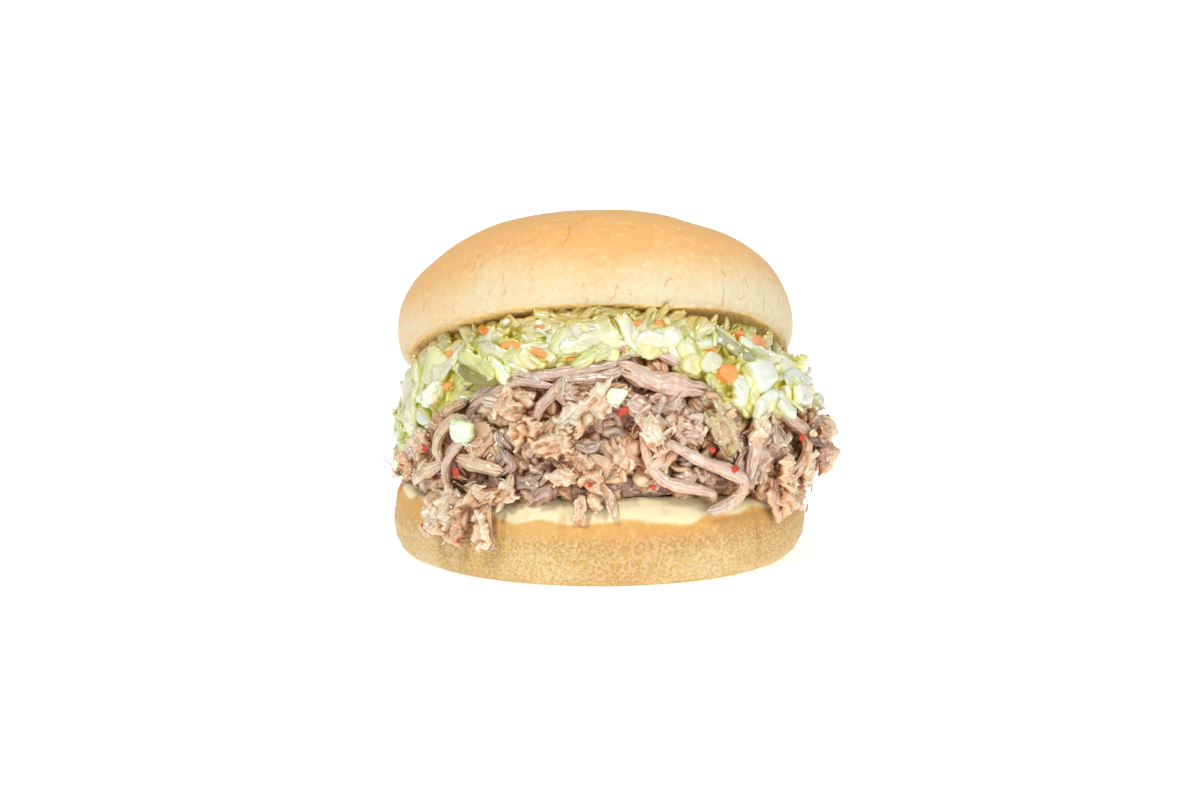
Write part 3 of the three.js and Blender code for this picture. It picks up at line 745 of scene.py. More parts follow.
@dataclass
class Chip:
    """One flat cut or torn bit: four straight cut edges, a curl and a wavy face."""

    centre: Array
    size: Pair
    thick: float
    tone: Colour
    seed: float
    lean: float = 0.0
    spin: float = 0.0
    curl: float = 1.0
    cells: tuple[int, int] = (14, 10)
    rib: float = 0.3
    torn: float = 0.0
    edge: Colour | None = None
    round: float = 0.35
    pitch: float = 2.4
    soft: float = 0.35
    knobs: float = 0.0
    # The painted light at the edges, as of light through the thin rim.
    painted_edge_light: Colour = (1.0, 1.0, 1.0)

    def outline(self, p: Array, q: Array, grain: Grain) -> tuple[Array, Array]:
        """Skews and tears the bit's outline.

        Args:
            p: the place along each spot has, from -1 to 1.
            q: the place across.
            grain: tears the edges.

        Returns:
            How far along and across each spot lies.
        """
        skew = [chance(self.seed, k + 40, -0.26, 0.26) for k in range(8)]
        corners = [(1 + i * p) * (1 + j * q) / 4 for i, j in ((-1, -1), (1, -1), (1, 1), (-1, 1))]
        x = p * np.sqrt(1 - self.round * q * q / 2)
        y = q * np.sqrt(1 - self.round * p * p / 2)
        x = x + sum(w * skew[k] for k, w in enumerate(corners))
        y = y + sum(w * skew[k + 4] * 1.5 for k, w in enumerate(corners))
        bite = 0.05 + self.torn * 0.5
        jag = grain.layers(stacked(q * self.size[1] * 0.22, self.seed, p * 0.5), 3)
        x = self.size[0] / 2 * (x + jag * bite * np.sign(p) * np.abs(p) ** 2)
        jag = grain.layers(stacked(x * 0.42, self.seed + 9, q * 0.5), 3)
        return x, self.size[1] / 2 * (y + jag * bite * np.sign(q) * np.abs(q) ** 2)

    def build(self, stock: Stock, grain: Grain) -> None:
        """Adds the bit.

        Args:
            stock: takes its shell.
            grain: makes it uneven.
        """
        length, breadth, out = facing(self.centre, self.spin)
        c, s = math.cos(self.lean), math.sin(self.lean)
        breadth, normal = breadth * c + out * s, out * c - breadth * s
        n, m = self.cells
        p, q = np.meshgrid(np.linspace(-1, 1, n), np.linspace(-1, 1, m), indexing="ij")
        x, y = self.outline(p, q, grain)
        wave = grain.value(stacked(x * 0.16, y * 0.2, self.seed))
        wave = wave + 0.35 * grain.value(stacked(x * 0.45, y * 0.5, self.seed + 4))
        bow = chance(self.seed, 50, -1.0, 1.0) * 0.045
        spots = stacked(x * 0.16, y * 1.6 / self.pitch + 0.8 * wave, self.seed)
        veins = grain.ridges(spots) * 0.65 + grain.ridges(spots * 2.3 + 5.0) * 0.35
        border = np.maximum(np.abs(p), np.abs(q))
        rim = border ** 10
        spots = stacked(x, y, 0.0) * 0.4 + self.seed
        knob = np.abs(grain.value(spots)) - 0.25 + 0.25 * np.abs(grain.value(spots * 2.7 + 3.0))
        half = self.thick / 2 * (1 - self.soft * rim) * (1 + self.rib * veins + 0.25 * wave)
        lift = self.curl * (0.8 * wave - bow * x * x - 0.03 * y * y)
        lift = lift + self.knobs * knob * (1 - 0.6 * rim)
        flat = self.centre + x[..., None] * length + y[..., None] * breadth
        points = np.vstack([(flat + level[..., None] * normal).reshape(-1, 3)
                            for level in (lift + half, lift - half)])
        ids = np.arange(n * m).reshape(n, m)
        face = np.stack([ids[:-1, :-1], ids[:-1, 1:], ids[1:, 1:], ids[1:, :-1]], -1).reshape(-1, 4)
        edge = np.concatenate([ids[:, 0], ids[-1, 1:], ids[-2::-1, -1], ids[0, -2:0:-1]])
        after, shift = np.roll(edge, -1), n * m
        wall = np.stack([edge, after, after + shift, edge + shift], -1)
        # Painted light: the rim is lit up or tinted as by light shining through it.
        tint = np.array(self.tone) * lerp(1.0, np.array(self.painted_edge_light), (border ** 5)[..., None])
        tint = tint * (0.97 + 0.05 * wave + 0.08 * veins)[..., None]
        if self.edge is not None:
            tint = lerp(tint, np.array(self.edge), ease(q, 0.0, 0.9)[..., None])
        run = stacked(x, y, self.seed * 7)
        stock.add(points, np.vstack([face, face[:, ::-1] + shift, wall]), NO_TRIS,
                  np.vstack([tint.reshape(-1, 3)] * 2), np.vstack([run.reshape(-1, 3)] * 2))


# --------------------------------------------------------------------------- shaders
class Wiring:
    """Adds nodes to a tree with little writing."""

    def __init__(self, tree: NodeTree) -> None:
        """Works on one node tree."""
        self.tree = tree

    def feed(self, node: Any, inputs: dict[Any, Any]) -> None:
        """Gives a node's inputs, by name or number, values or other nodes' outputs.

        Args:
            node: the node.
            inputs: socket name or number to a value or an output.
        """
        for key, value in inputs.items():
            if isinstance(value, bpy.types.NodeSocket):
                self.tree.links.new(value, node.inputs[key])
            else:
                node.inputs[key].default_value = value

    def node(self, kind: str, inputs: dict[Any, Any] | None = None, **settings: Any) -> Any:
        """Adds a node.

        Args:
            kind: the node's type.
            inputs: what its inputs get, as in feed.
            settings: the node's own settings.

        Returns:
            The new node.
        """
        made = self.tree.nodes.new(kind)
        for name, value in settings.items():
            setattr(made, name, value)
        self.feed(made, inputs or {})
        return made

    def math(self, operation: str, a: Any, b: Any = 0.0, clamp: bool = False) -> Any:
        """One arithmetic step on two values."""
        made = self.node("ShaderNodeMath", {0: a, 1: b}, operation=operation, use_clamp=clamp)
        return made.outputs[0]

    def times(self, a: Any, b: Any) -> Any:
        """One value times another."""
        return self.math("MULTIPLY", a, b)

    def span(self, value: Any, low: float, high: float, to: Pair = (0, 1)) -> Any:
        """Maps a value's range smoothly to another.

        Args:
            value: the value.
            low: where its range starts.
            high: where it ends.
            to: the ends of the new range.

        Returns:
            The new value's output.
        """
        ends = {"Value": value, "From Min": low, "From Max": high, "To Min": to[0], "To Max": to[1]}
        made = self.node("ShaderNodeMapRange", ends, interpolation_type="SMOOTHSTEP")
        return made.outputs["Result"]

    def mix(self, share: Any, first: Any, second: Any, blend: str = "MIX") -> Any:
        """Mixes two colours.

        Args:
            share: how much of the second there is.
            first: the first colour.
            second: the second colour.
            blend: how they are mixed.

        Returns:
            The mixed colour's output.
        """
        first, second = (one if isinstance(one, bpy.types.NodeSocket) else (*one, 1.0)
                         for one in (first, second))
        return self.node("ShaderNodeMix", {0: share, 6: first, 7: second}, data_type="RGBA",
                         blend_type=blend).outputs[2]

    def tinted(self, colour: Any, by: Any) -> Any:
        """One colour times another."""
        return self.mix(1.0, colour, by, "MULTIPLY")

    def noise(self, vector: Any, scale: float, detail: float = 3.0, rough: float = 0.55) -> Any:
        """Soft noise from 0 to 1."""
        inputs = {"Vector": vector, "Scale": scale, "Detail": detail, "Roughness": rough}
        return self.node("ShaderNodeTexNoise", inputs).outputs["Fac"]

    def cells(self, vector: Any, scale: float) -> Any:
        """How far it is to the nearest of scattered points."""
        inputs = {"Vector": vector, "Scale": scale}
        return self.node("ShaderNodeTexVoronoi", inputs).outputs["Distance"]

    def ramp(self, value: Any, stops: Stops) -> Any:
        """A colour by value."""
        made = self.node("ShaderNodeValToRGB", {"Fac": value})
        steps = made.color_ramp.elements
        while len(steps) < len(stops):
            steps.new(0.5)
        for step, (place, colour) in zip(steps, stops):
            step.position, step.color = place, (*colour, 1.0)
        return made.outputs["Color"]

    def coords(self) -> Any:
        """The object's own coordinates."""
        return self.node("ShaderNodeTexCoord").outputs["Object"]

    def attribute(self, name: str, output: str = "Vector") -> Any:
        """A value that the mesh carries."""
        return self.node("ShaderNodeAttribute", attribute_name=name).outputs[output]

    def group(self, tree: NodeTree, **inputs: Any) -> Any:
        """The outputs of a shared node group."""
        return self.node("ShaderNodeGroup", inputs, node_tree=tree).outputs

    def bump(self, height: Any, strength: float, depth: float, normal: Any = None) -> Any:
        """Turns height into a normal, with the depth in millimetres.

        Args:
            height: the relief.
            strength: how strong it is.
            depth: how deep it is.
            normal: a normal that it adds to.

        Returns:
            The normal's output.
        """
        inputs = {"Height": height, "Strength": strength, "Distance": depth * MM}
        if normal is not None:
            inputs["Normal"] = normal
        return self.node("ShaderNodeBump", inputs).outputs["Normal"]


def start_group(name: str, vector: str, scales: dict[str, float],
                outputs: Sequence[str]) -> tuple[Wiring, Any, Any]:
    """Starts a node group that finishes share.

    Args:
        name: the group's name.
        vector: the name of its first input, a vector.
        scales: the name and default value of each of its other inputs.
        outputs: the names of its outputs.

    Returns:
        The group's wiring, its input node's outputs and its output node.
    """
    tree = bpy.data.node_groups.new(name, "ShaderNodeTree")
    tree.interface.new_socket(vector, in_out="INPUT", socket_type="NodeSocketVector")
    for label, value in scales.items():
        made = tree.interface.new_socket(label, in_out="INPUT", socket_type="NodeSocketFloat")
        made.default_value = value
    for label in outputs:
        tree.interface.new_socket(label, in_out="OUTPUT", socket_type="NodeSocketFloat")
    w = Wiring(tree)
    return w, w.node("NodeGroupInput").outputs, w.node("NodeGroupOutput")


@lru_cache(maxsize=None)
def soft_mottle() -> NodeTree:
    """Large soft patches with a finer break-up, from 0 to 1."""
    w, (at, patch, fine, *_), sink = start_group(
        "SoftMottle", "Vector", {"Patch": 60.0, "Fine": 500.0}, ["Value"])
    large, small = w.noise(at, patch, 2.0, 0.5), w.noise(at, fine, 3.0, 0.5)
    both = w.math("ADD", w.times(large, 0.7), w.times(small, 0.3))
    w.feed(sink, {0: w.span(both, 0.3, 0.7)})
    return w.tree


@lru_cache(maxsize=None)
def fibre_strings() -> NodeTree:
    """Fine strings that run along a piece, from 0 in the grooves to 1 on the strings."""
    w, (run, along, across, *_), sink = start_group(
        "FibreStrings", "Run", {"Along": 0.16, "Across": 1.1}, ["Strings", "Fine"])
    x, y, z = w.node("ShaderNodeSeparateXYZ", {0: run}).outputs
    spun = w.node("ShaderNodeCombineXYZ", {0: w.times(x, along), 1: w.times(y, across), 2: z})
    w.feed(sink, {0: w.span(w.noise(spun.outputs[0], 1.0, 3.0, 0.6), 0.32, 0.68),
                  1: w.span(w.noise(spun.outputs[0], 2.6, 3.0, 0.65), 0.3, 0.7)})
    return w.tree


@dataclass(frozen=True)
class Finish:
    """A food surface: how it shines and how light sinks into it."""

    name: str
    rough: float = 0.5
    depth: float = 1.2
    soak: float = 0.2
    bleed: Colour = (1.0, 0.55, 0.35)
    coat: float = 0.0
    specular: float = 0.5
    sheen: float = 0.0

    def start(self) -> tuple[Material, Wiring, Any]:
        """Makes the material with its uniform values set on the shader.

        Returns:
            The material, its wiring and its shader node.
        """
        made = bpy.data.materials.new(self.name)
        made.use_nodes = True
        w, shader = Wiring(made.node_tree), made.node_tree.nodes["Principled BSDF"]
        w.feed(shader, {
            "Roughness": self.rough, "Subsurface Weight": self.soak,
            "Subsurface Radius": self.bleed, "Subsurface Scale": self.depth * MM,
            "Coat Weight": self.coat, "Coat Roughness": 0.17, "Coat IOR": 1.7,
            "Specular IOR Level": self.specular, "Sheen Weight": self.sheen})
        return made, w, shader

    def build(self) -> Material:
        """Makes a plain material, tinted piece by piece."""
        made, w, shader = self.start()
        w.feed(shader, {"Base Color": w.attribute("Tint", "Color")})
        return made

    @staticmethod
    def film(w: Wiring, at: Any) -> Any:
        """The normal of a smooth wet film over the finer relief."""
        return w.bump(w.noise(at, 420.0, 2.0), 0.8, 0.4)


@dataclass(frozen=True)
class PorkFinish(Finish):
    """Cooked pork: tinted piece by piece, with fine strings, wet spots, painted shade in grooves and pits
    and painted highlights on fine strings and crumbs.
    """

    strings: float = 0.8

    def build(self) -> Material:
        """Makes the material."""
        made, w, shader = self.start()
        at, tint = w.coords(), w.attribute("Tint", "Color")
        strings, fine = w.group(fibre_strings(), Run=w.attribute("Run"))
        mottle = w.group(soft_mottle(), Vector=at, Patch=160.0, Fine=900.0)[0]
        colour = w.tinted(tint, w.mix(w.times(mottle, 0.55), (1.0, 1.0, 1.0), (1.12, 1.10, 1.02)))
        ruddy = w.span(w.noise(at, 190.0, 3.0), 0.5, 0.7, (0, 0.8))
        colour = w.mix(ruddy, colour, w.tinted(colour, (0.90, 0.79, 0.70)))
        # Painted shade in the grooves between the strings.
        groove_shade = w.times(w.math("SUBTRACT", 1.0, strings), 0.30)
        colour = w.mix(groove_shade, colour, srgb(168, 116, 84))
        # Pale fat streaks on the fine strings, which also serve as painted highlights.
        colour = w.mix(w.span(fine, 0.58, 1.0, (0, 0.38)), colour, srgb(246, 228, 202))
        crumbs = w.noise(at, 620.0, 4.0, 0.7)
        # Painted shade in the hollows of the crumbly relief, painted highlight on its tops.
        colour = w.mix(
            w.span(crumbs, 0.46, 0.32, (0, 0.75)), colour, w.tinted(colour, (0.90, 0.68, 0.48)))
        colour = w.mix(w.span(crumbs, 0.56, 0.70, (0, 0.50)), colour, srgb(244, 232, 214))
        wet = w.span(w.noise(at, 260.0, 2.0), 0.42, 0.66, (self.rough + 0.12, self.rough - 0.16))
        normal = w.bump(strings, self.strings, 0.35)
        normal = w.bump(fine, self.strings * 0.6, 0.15, normal)
        normal = w.bump(crumbs, 0.8, 0.4, normal)
        w.feed(shader, {"Base Color": colour, "Roughness": wet, "Normal": normal,
                        "Coat Normal": self.film(w, at)})
        return made


@dataclass(frozen=True)
class LeafFinish(Finish):
    """Wet cut cabbage and carrot: tinted piece by piece and softly veined, with a painted glow where they
    lie hidden.
    """

    vein: float = 0.2
    # Strength of the painted glow in hidden spots, as of light through the leaves.
    through: float = 0.10
    painted_gap_tint: Colour = (0.95, 0.90, 0.25)

    def build(self) -> Material:
        """Makes the material."""
        made, w, shader = self.start()
        at, tint = w.coords(), w.attribute("Tint", "Color")
        strings = w.group(fibre_strings(), Run=w.attribute("Run"), Along=0.2, Across=1.1)[0]
        mottle = w.group(soft_mottle(), Vector=at, Patch=140.0, Fine=500.0)[0]
        colour = w.mix(w.times(mottle, 0.30), tint, tint, "MULTIPLY")
        colour = w.mix(w.times(strings, self.vein), colour, srgb(250, 251, 240))
        wet = w.span(w.noise(at, 300.0, 2.0), 0.4, 0.65, (self.rough + 0.1, self.rough - 0.12))
        normal = w.bump(w.noise(at, 500.0, 3.0), 0.5, 0.3, w.bump(strings, 0.35, 0.22))
        # Painted light: hidden spots glow with their tint, as of light shining through the leaves.
        lit = w.mix(w.attribute("Open", "Fac"), w.tinted(tint, self.painted_gap_tint), (0, 0, 0))
        w.feed(shader, {"Base Color": colour, "Roughness": wet, "Normal": normal,
                        "Coat Normal": self.film(w, at), "Emission Color": lit,
                        "Emission Strength": self.through})
        return made


@dataclass(frozen=True)
class BreadFinish(Finish):
    """Bread crust: the mesh carries how baked, how open and how creased each spot is; the crease channel
    carries painted shade.
    """

    baked: Stops = ()
    crumb: Colour = srgb(244, 206, 132)
    # Darker brown, for random mottle and for the painted shade in pits, creases, cracks and under the
    # crown.
    crack: Colour = srgb(212, 150, 82)
    pale: Colour = srgb(246, 232, 204)
    wrinkle: float = 0.5
    pore: float = 1000.0
    # How strongly the pits get painted shade.
    pitted: float = 0.75
    flecks: float = 0.2
    walls: float = 0.0

    def build(self) -> Material:
        """Makes the material."""
        made, w, shader = self.start()
        at = w.coords()
        bake, open_crumb, crease = w.node("ShaderNodeSeparateXYZ", {0: w.attribute("Tint")}).outputs
        mottle = w.group(soft_mottle(), Vector=at, Patch=38.0, Fine=420.0)[0]
        uneven = w.times(w.math("SUBTRACT", mottle, 0.5), 0.28)
        colour = w.ramp(w.math("ADD", bake, uneven, clamp=True), self.baked)
        fine = w.noise(at, 620.0, 4.0, 0.65)
        pores, small = w.cells(at, self.pore), w.cells(at, self.pore * 1.9)
        # Painted shade in the pits of the open crumb.
        pit_shade = w.times(w.span(pores, 0.36, 0.20), open_crumb)
        walls = w.times(w.span(pores, 0.45, 0.62), open_crumb)
        for share, over in (
                (w.span(fine, 0.52, 0.72, (0, 0.32)), self.crack),
                (w.span(fine, 0.48, 0.28, (0, self.flecks)), self.pale),
                (w.times(pit_shade, self.pitted), self.crack), (w.times(walls, self.walls), self.pale),
                (w.times(w.span(bake, 0.035, 0.0), 0.9), self.crumb),
                # Painted shade in the creases and cracks and under the crown.
                (w.times(crease, 0.45), self.crack)):
            colour = w.mix(share, colour, over)
        stretched = w.node(
            "ShaderNodeMapping", {"Vector": w.attribute("Run"), "Scale": (0.75, 0.14, 1.0)})
        lines = w.math("SUBTRACT", w.noise(stretched.outputs["Vector"], 1.0, 3.0, 0.55), 0.5)
        folds = w.times(w.span(w.math("ABSOLUTE", lines), 0.05, 0.0), w.span(bake, 0.62, 0.25))
        normal = w.bump(w.times(w.math("ADD", pores, small), open_crumb), 1.0, 0.5)
        normal = w.bump(w.times(folds, self.wrinkle), -0.7, 0.30, normal)
        normal = w.bump(fine, 0.5, 0.22, normal)
        normal = w.bump(w.noise(at, 200.0, 2.0), 0.30, 0.4, normal)
        w.feed(shader, {"Base Color": colour, "Normal": normal})
        return made


class Tone(Enum):
    """The colours that pieces of the filling come in."""

    CREAM = srgb(238, 202, 162)
    PINK = srgb(238, 200, 174)
    ROSE = srgb(228, 190, 168)
    GREY = srgb(190, 158, 140)
    TAN = srgb(230, 182, 136)
    BROWN = srgb(184, 134, 96)
    FAT = srgb(244, 220, 188)
    FAN = srgb(216, 192, 140)
    CHAR = srgb(96, 60, 50)
    CABBAGE = srgb(234, 234, 190)
    WHITE = srgb(240, 243, 222)
    LIME = srgb(221, 223, 130)
    GREEN = srgb(196, 203, 80)
    YELLOW = srgb(234, 224, 148)
    OLIVE = srgb(160, 160, 76)
    MINT = srgb(212, 228, 200)
    RIND = srgb(142, 134, 8)
    CARROT = srgb(255, 172, 60)
    CHILLI = srgb(190, 46, 12)


(CREAM, PINK, ROSE, GREY, TAN, BROWN, FAT, FAN, CHAR, CABBAGE,
 WHITE, LIME, GREEN, YELLOW, OLIVE, MINT, RIND, CARROT, CHILLI) = Tone


@dataclass(frozen=True)
class Strewer:
    """Strews copies of small pieces over the open faces of others, with Geometry Nodes."""

    smallest: float = 0.7
    largest: float = 1.3

    def tree(self) -> NodeTree:
        """Builds the node group that strews the pieces."""
        tree = bpy.data.node_groups.new("Strew", "GeometryNodeTree")
        for label, kind in (("Carrier", "Geometry"), ("Pieces", "Collection"),
                            ("Finish", "Material"), ("Density", "Float"), ("Seed", "Int")):
            tree.interface.new_socket(label, in_out="INPUT", socket_type=f"NodeSocket{kind}")
        tree.interface.new_socket("Strewn", in_out="OUTPUT", socket_type="NodeSocketGeometry")
        w = Wiring(tree)
        carrier, pieces, finish, density, seed = w.node("NodeGroupInput").outputs[:5]
        opened = w.node("GeometryNodeInputNamedAttribute", {"Name": "Open"}, data_type="FLOAT")
        allowed = w.times(opened.outputs["Attribute"], density)
        spots = w.node(
            "GeometryNodeDistributePointsOnFaces", {"Mesh": carrier, "Density": allowed, "Seed": seed})
        kinds = w.node("GeometryNodeCollectionInfo",
                       {"Collection": pieces, "Separate Children": True, "Reset Children": True})
        spin = w.node(
            "FunctionNodeRandomValue",
            {0: (-0.35, -0.35, 0.0), 1: (0.35, 0.35, 2 * math.pi), "Seed": seed},
            data_type="FLOAT_VECTOR")
        turned = w.node(
            "FunctionNodeRotateRotation",
            {"Rotation": spots.outputs["Rotation"], "Rotate By": spin.outputs[0]}, rotation_space="LOCAL")
        size = w.node("FunctionNodeRandomValue",
                      {2: self.smallest, 3: self.largest, "Seed": seed}, data_type="FLOAT")
        copies = w.node("GeometryNodeInstanceOnPoints",
                        {"Points": spots.outputs["Points"], "Instance": kinds.outputs[0],
                         "Pick Instance": True, "Rotation": turned.outputs[0],
                         "Scale": size.outputs[1]})
        whole = w.node("GeometryNodeRealizeInstances", {0: copies.outputs[0]})
        dressed = w.node("GeometryNodeSetMaterial", {"Geometry": whole.outputs[0], "Material": finish})
        w.node("NodeGroupOutput", {0: dressed.outputs[0]})
        return tree

    def strew(self, name: str, carrier: Stock, pieces: Sequence[Stock],
              finish: Material, density: float, seed: int) -> Thing:
        """Strews the pieces and makes the result one plain object.

        Args:
            name: the name of the result.
            carrier: the shells whose faces the pieces lie on.
            pieces: the small pieces, each laid flat at the middle.
            finish: the material of the result.
            density: how many pieces lie on a square centimetre.
            seed: picks the random places.

        Returns:
            The new object.
        """
        kinds = bpy.data.collections.new(f"{name}_Kinds")
        for number, stock in enumerate(pieces):
            kind = stock.make(f"{name}_Kind_{number}", finish)
            bpy.context.scene.collection.objects.unlink(kind)
            kinds.objects.link(kind)
        host = carrier.make(f"{name}_Carrier", finish)
        strewing = host.modifiers.new("Strew", "NODES")
        strewing.node_group = self.tree()
        values = {"Pieces": kinds, "Finish": finish, "Density": density * 1e4, "Seed": seed}
        for item in strewing.node_group.interface.items_tree:
            if item.in_out == "INPUT" and item.name in values:
                strewing[item.identifier] = values[item.name]
        bpy.context.view_layer.update()
        graph = bpy.context.evaluated_depsgraph_get()
        mesh = bpy.data.meshes.new_from_object(host.evaluated_get(graph))
        for extra in [host, *kinds.objects]:
            bpy.data.objects.remove(extra)
        bpy.data.collections.remove(kinds)
        mesh.name = name
        LOG.info("%s: %d faces", name, len(mesh.polygons))
        return placed(name, mesh)


# --------------------------------------------------------------------------- the buns
class Bun:
    """What both buns share: an outline of radius and height, swept round the middle."""

    @staticmethod
    def along(line: Array, place: Array) -> Array:
        """Reads an outline at distances along it."""
        return np.stack([np.interp(place, distances(line), line[:, k]) for k in range(2)], -1)

    @staticmethod
    def normals(line: Array, degrees: Array) -> Array:
        """The way out of the crust at each row and angle."""
        across, up = (np.gradient(line[:, k])[:, None] for k in range(2))
        return unit(polar(up, degrees, -across))


@dataclass
class CrownBun(Bun):
    """The domed top bun, which leans back on the filling."""

    form: Form = FORM
    front_steps: int = 390
    back_steps: int = 150
    row_stops: Pairs = ((0, 0), (34, 46), (132, 80), (172, 1000))
    finish: BreadFinish = BreadFinish(
        "Top_Crust", rough=0.5, depth=2.0, soak=0.2, bleed=(1.0, 0.62, 0.35),
        specular=0.3, sheen=0.05,
        baked=((0.0, srgb(212, 200, 164)), (0.25, srgb(216, 188, 139)),
               (0.5, srgb(220, 173, 111)), (0.75, srgb(224, 171, 100)),
               (1.0, srgb(224, 171, 94))),
    )

    cracks: tuple[tuple[float, float, float, float], ...] = (
        (-54, 55.4, -52, 58.5), (-51.7, 60, -50.8, 66.9), (-51.3, 72.6, -45.8, 73.4),
        (-24.4, 56.2, -24.1, 59.2), (-24.4, 53.1, -23.7, 55.4), (-7.8, 65.4, -7.2, 73.9),
        (-7.2, 73.9, -1.7, 79.3), (-2.8, 53.1, -2.6, 54.6), (-2.6, 49.2, -2.3, 50.8),
        (5.5, 53.1, 5.7, 54.2), (4.1, 49.2, 5.1, 52.3), (17.9, 54.6, 20.4, 57.7),
        (9, 51.6, 9.7, 52.3), (36.8, 50, 35.4, 55.4), (35.1, 60.8, 36.8, 58.5),
        (43.2, 60, 44.9, 56.9), (41.9, 52.3, 43.2, 54.6), (52.6, 51.6, 52, 56.9),
        (58.4, 63.9, 59.8, 62.3), (58.1, 57.7, 58.9, 56.2), (-25.3, 66.2, -23.9, 69.2),
        (-34.2, 60.8, -33.1, 66.2), (-16.5, 59, -16.1, 59.3), (-40.5, 51.6, -40.2, 52),
        (140, 53, 142, 61), (-120, 53, -121, 60), (104, 54, 102, 62), (-150, 52, -147, 60),
        (-95, 54, -94, 57), (122, 56, 121, 60), (-135, 62, -131, 66), (160, 54, 159, 58),
    )

    def cracked(self, spots: Array, grain: Grain) -> Array:
        """How deep in a crack each spot lies, from 0 to 1.

        Args:
            spots: distance round and up the bun of each spot.
            grain: makes the cracks' edges uneven.

        Returns:
            The depth at each spot.
        """
        flat = stacked(spots[..., 0] * 0.8, spots[..., 1] * 0.8, 0.0)
        spots = spots + 0.55 * np.stack([grain.value(flat), grain.value(flat + 30)], -1)
        deepest = np.zeros(spots.shape[:-1])
        for x0, y0, x1, y1 in self.cracks:
            start, along = np.array([x0, y0]), np.array([x1 - x0, y1 - y0])
            share = np.clip((spots - start) @ along / (along @ along), 0, 1)
            gap = np.linalg.norm(spots - start - share[..., None] * along, axis=-1)
            width = 0.12 + 0.30 * np.sqrt(4 * share * (1 - share))
            deepest = np.maximum(deepest, ease(1 - gap / width, 0, 0.6))
        return deepest

    def profile(self) -> Array:
        """Radius and height from the middle of the cut face out and up to the top."""
        f = self.form
        under = np.linspace(0.02, 1, 20)[:, None] * [f.crown_cut - 1.6, 0] + [0, -f.crown_skirt]
        w = np.cos(np.linspace(0.12, math.pi / 2, 20))
        side = np.stack([lerp(f.crown_cut, f.crown_radius, np.sqrt(1 - w * w)), -f.crown_skirt * w], -1)
        turn = np.linspace(math.pi / 2, 0.012, 160)
        power = 2 / f.crown_power
        dome = np.stack(
            [f.crown_radius * np.sin(turn) ** power, f.crown_rise * np.cos(turn) ** power], -1)
        line = np.vstack([under, side[:-1], dome])
        row, stop = np.array(self.row_stops).T
        length = distances(line)[-1]
        return self.along(line, np.interp(np.arange(row[-1] + 1), row, np.minimum(stop, length)))

    def build(self) -> Thing:
        """Makes the bun.

        Returns:
            The bun's object.
        """
        f, grain, line = self.form, Grain(3), self.profile()
        r, z = line[:, 0][:, None], line[:, 1][:, None]
        degrees = np.concatenate([np.linspace(-68, 68, self.front_steps),
                                  np.linspace(68, 292, self.back_steps + 2)[1:-1]])[None, :]
        signed = np.where(degrees > 180, degrees - 360, degrees)
        spots = stacked(signed * 0.92, distances(line)[:, None])
        at = polar(r, degrees, z + f.rim_lift(r, signed, z))
        normal = self.normals(line, degrees)
        cut = ease(-z, f.crown_skirt - 0.9, f.crown_skirt - 0.05) * np.ones_like(at[..., 0])
        skin = 1 - cut
        soft = grain.layers(at * 0.045, 2) * 0.8 + grain.value(at * 0.12 + 7) * 0.28
        dimple = -0.35 * ease(grain.value(at * 0.33 + 50), 0.45, 0.9)
        strip = stacked(np.radians(degrees) * r * 0.42, z * 0.07, 0.0)
        fold = 0.3 * ease(grain.value(strip), 0.5, 0.9) * (ease(z, 13, 1) * skin)
        crack = self.cracked(spots, grain)
        crumb = grain.layers(at * 0.55, 3) * 0.45 + grain.ridges(at * 0.9) * 0.35
        push = skin * (soft + dimple - 0.42 * fold - 0.28 * crack) + cut * (0.4 * crumb - 0.2)
        at = at + normal * push[..., None]
        height = (z + f.crown_skirt) / (f.crown_rise + f.crown_skirt)
        patchy = 0.17 * grain.layers(at * 0.04 + 20, 4)
        left = 0.03 * np.sin(np.radians(-signed)) * (1 - height)
        bake = (0.06 + 0.84 * ease(height, 0.02, 0.80) + patchy + left) * skin
        opened = 0.35 * cut + 0.2 * ease(height, 0.30, 0.04) * skin
        # Painted shade in the cracks and on the cut face further in under the crown.
        painted_crease_shade = np.maximum(crack, 0.8 * cut * ease(r, f.crown_cut - 4, f.crown_cut - 16))
        tint = stacked(np.clip(bake, 0.04 * skin, 1), opened, painted_crease_shade)
        leaned, stock = f.leaned(at), Stock()
        stock.grid(leaned, leaned[0].mean(0), f.leaned(UP * (f.crown_rise + 0.1)), tint,
                   stacked(spots[..., 0], spots[..., 1], 0.0))
        return stock.make("Top_Bread", self.finish.build())


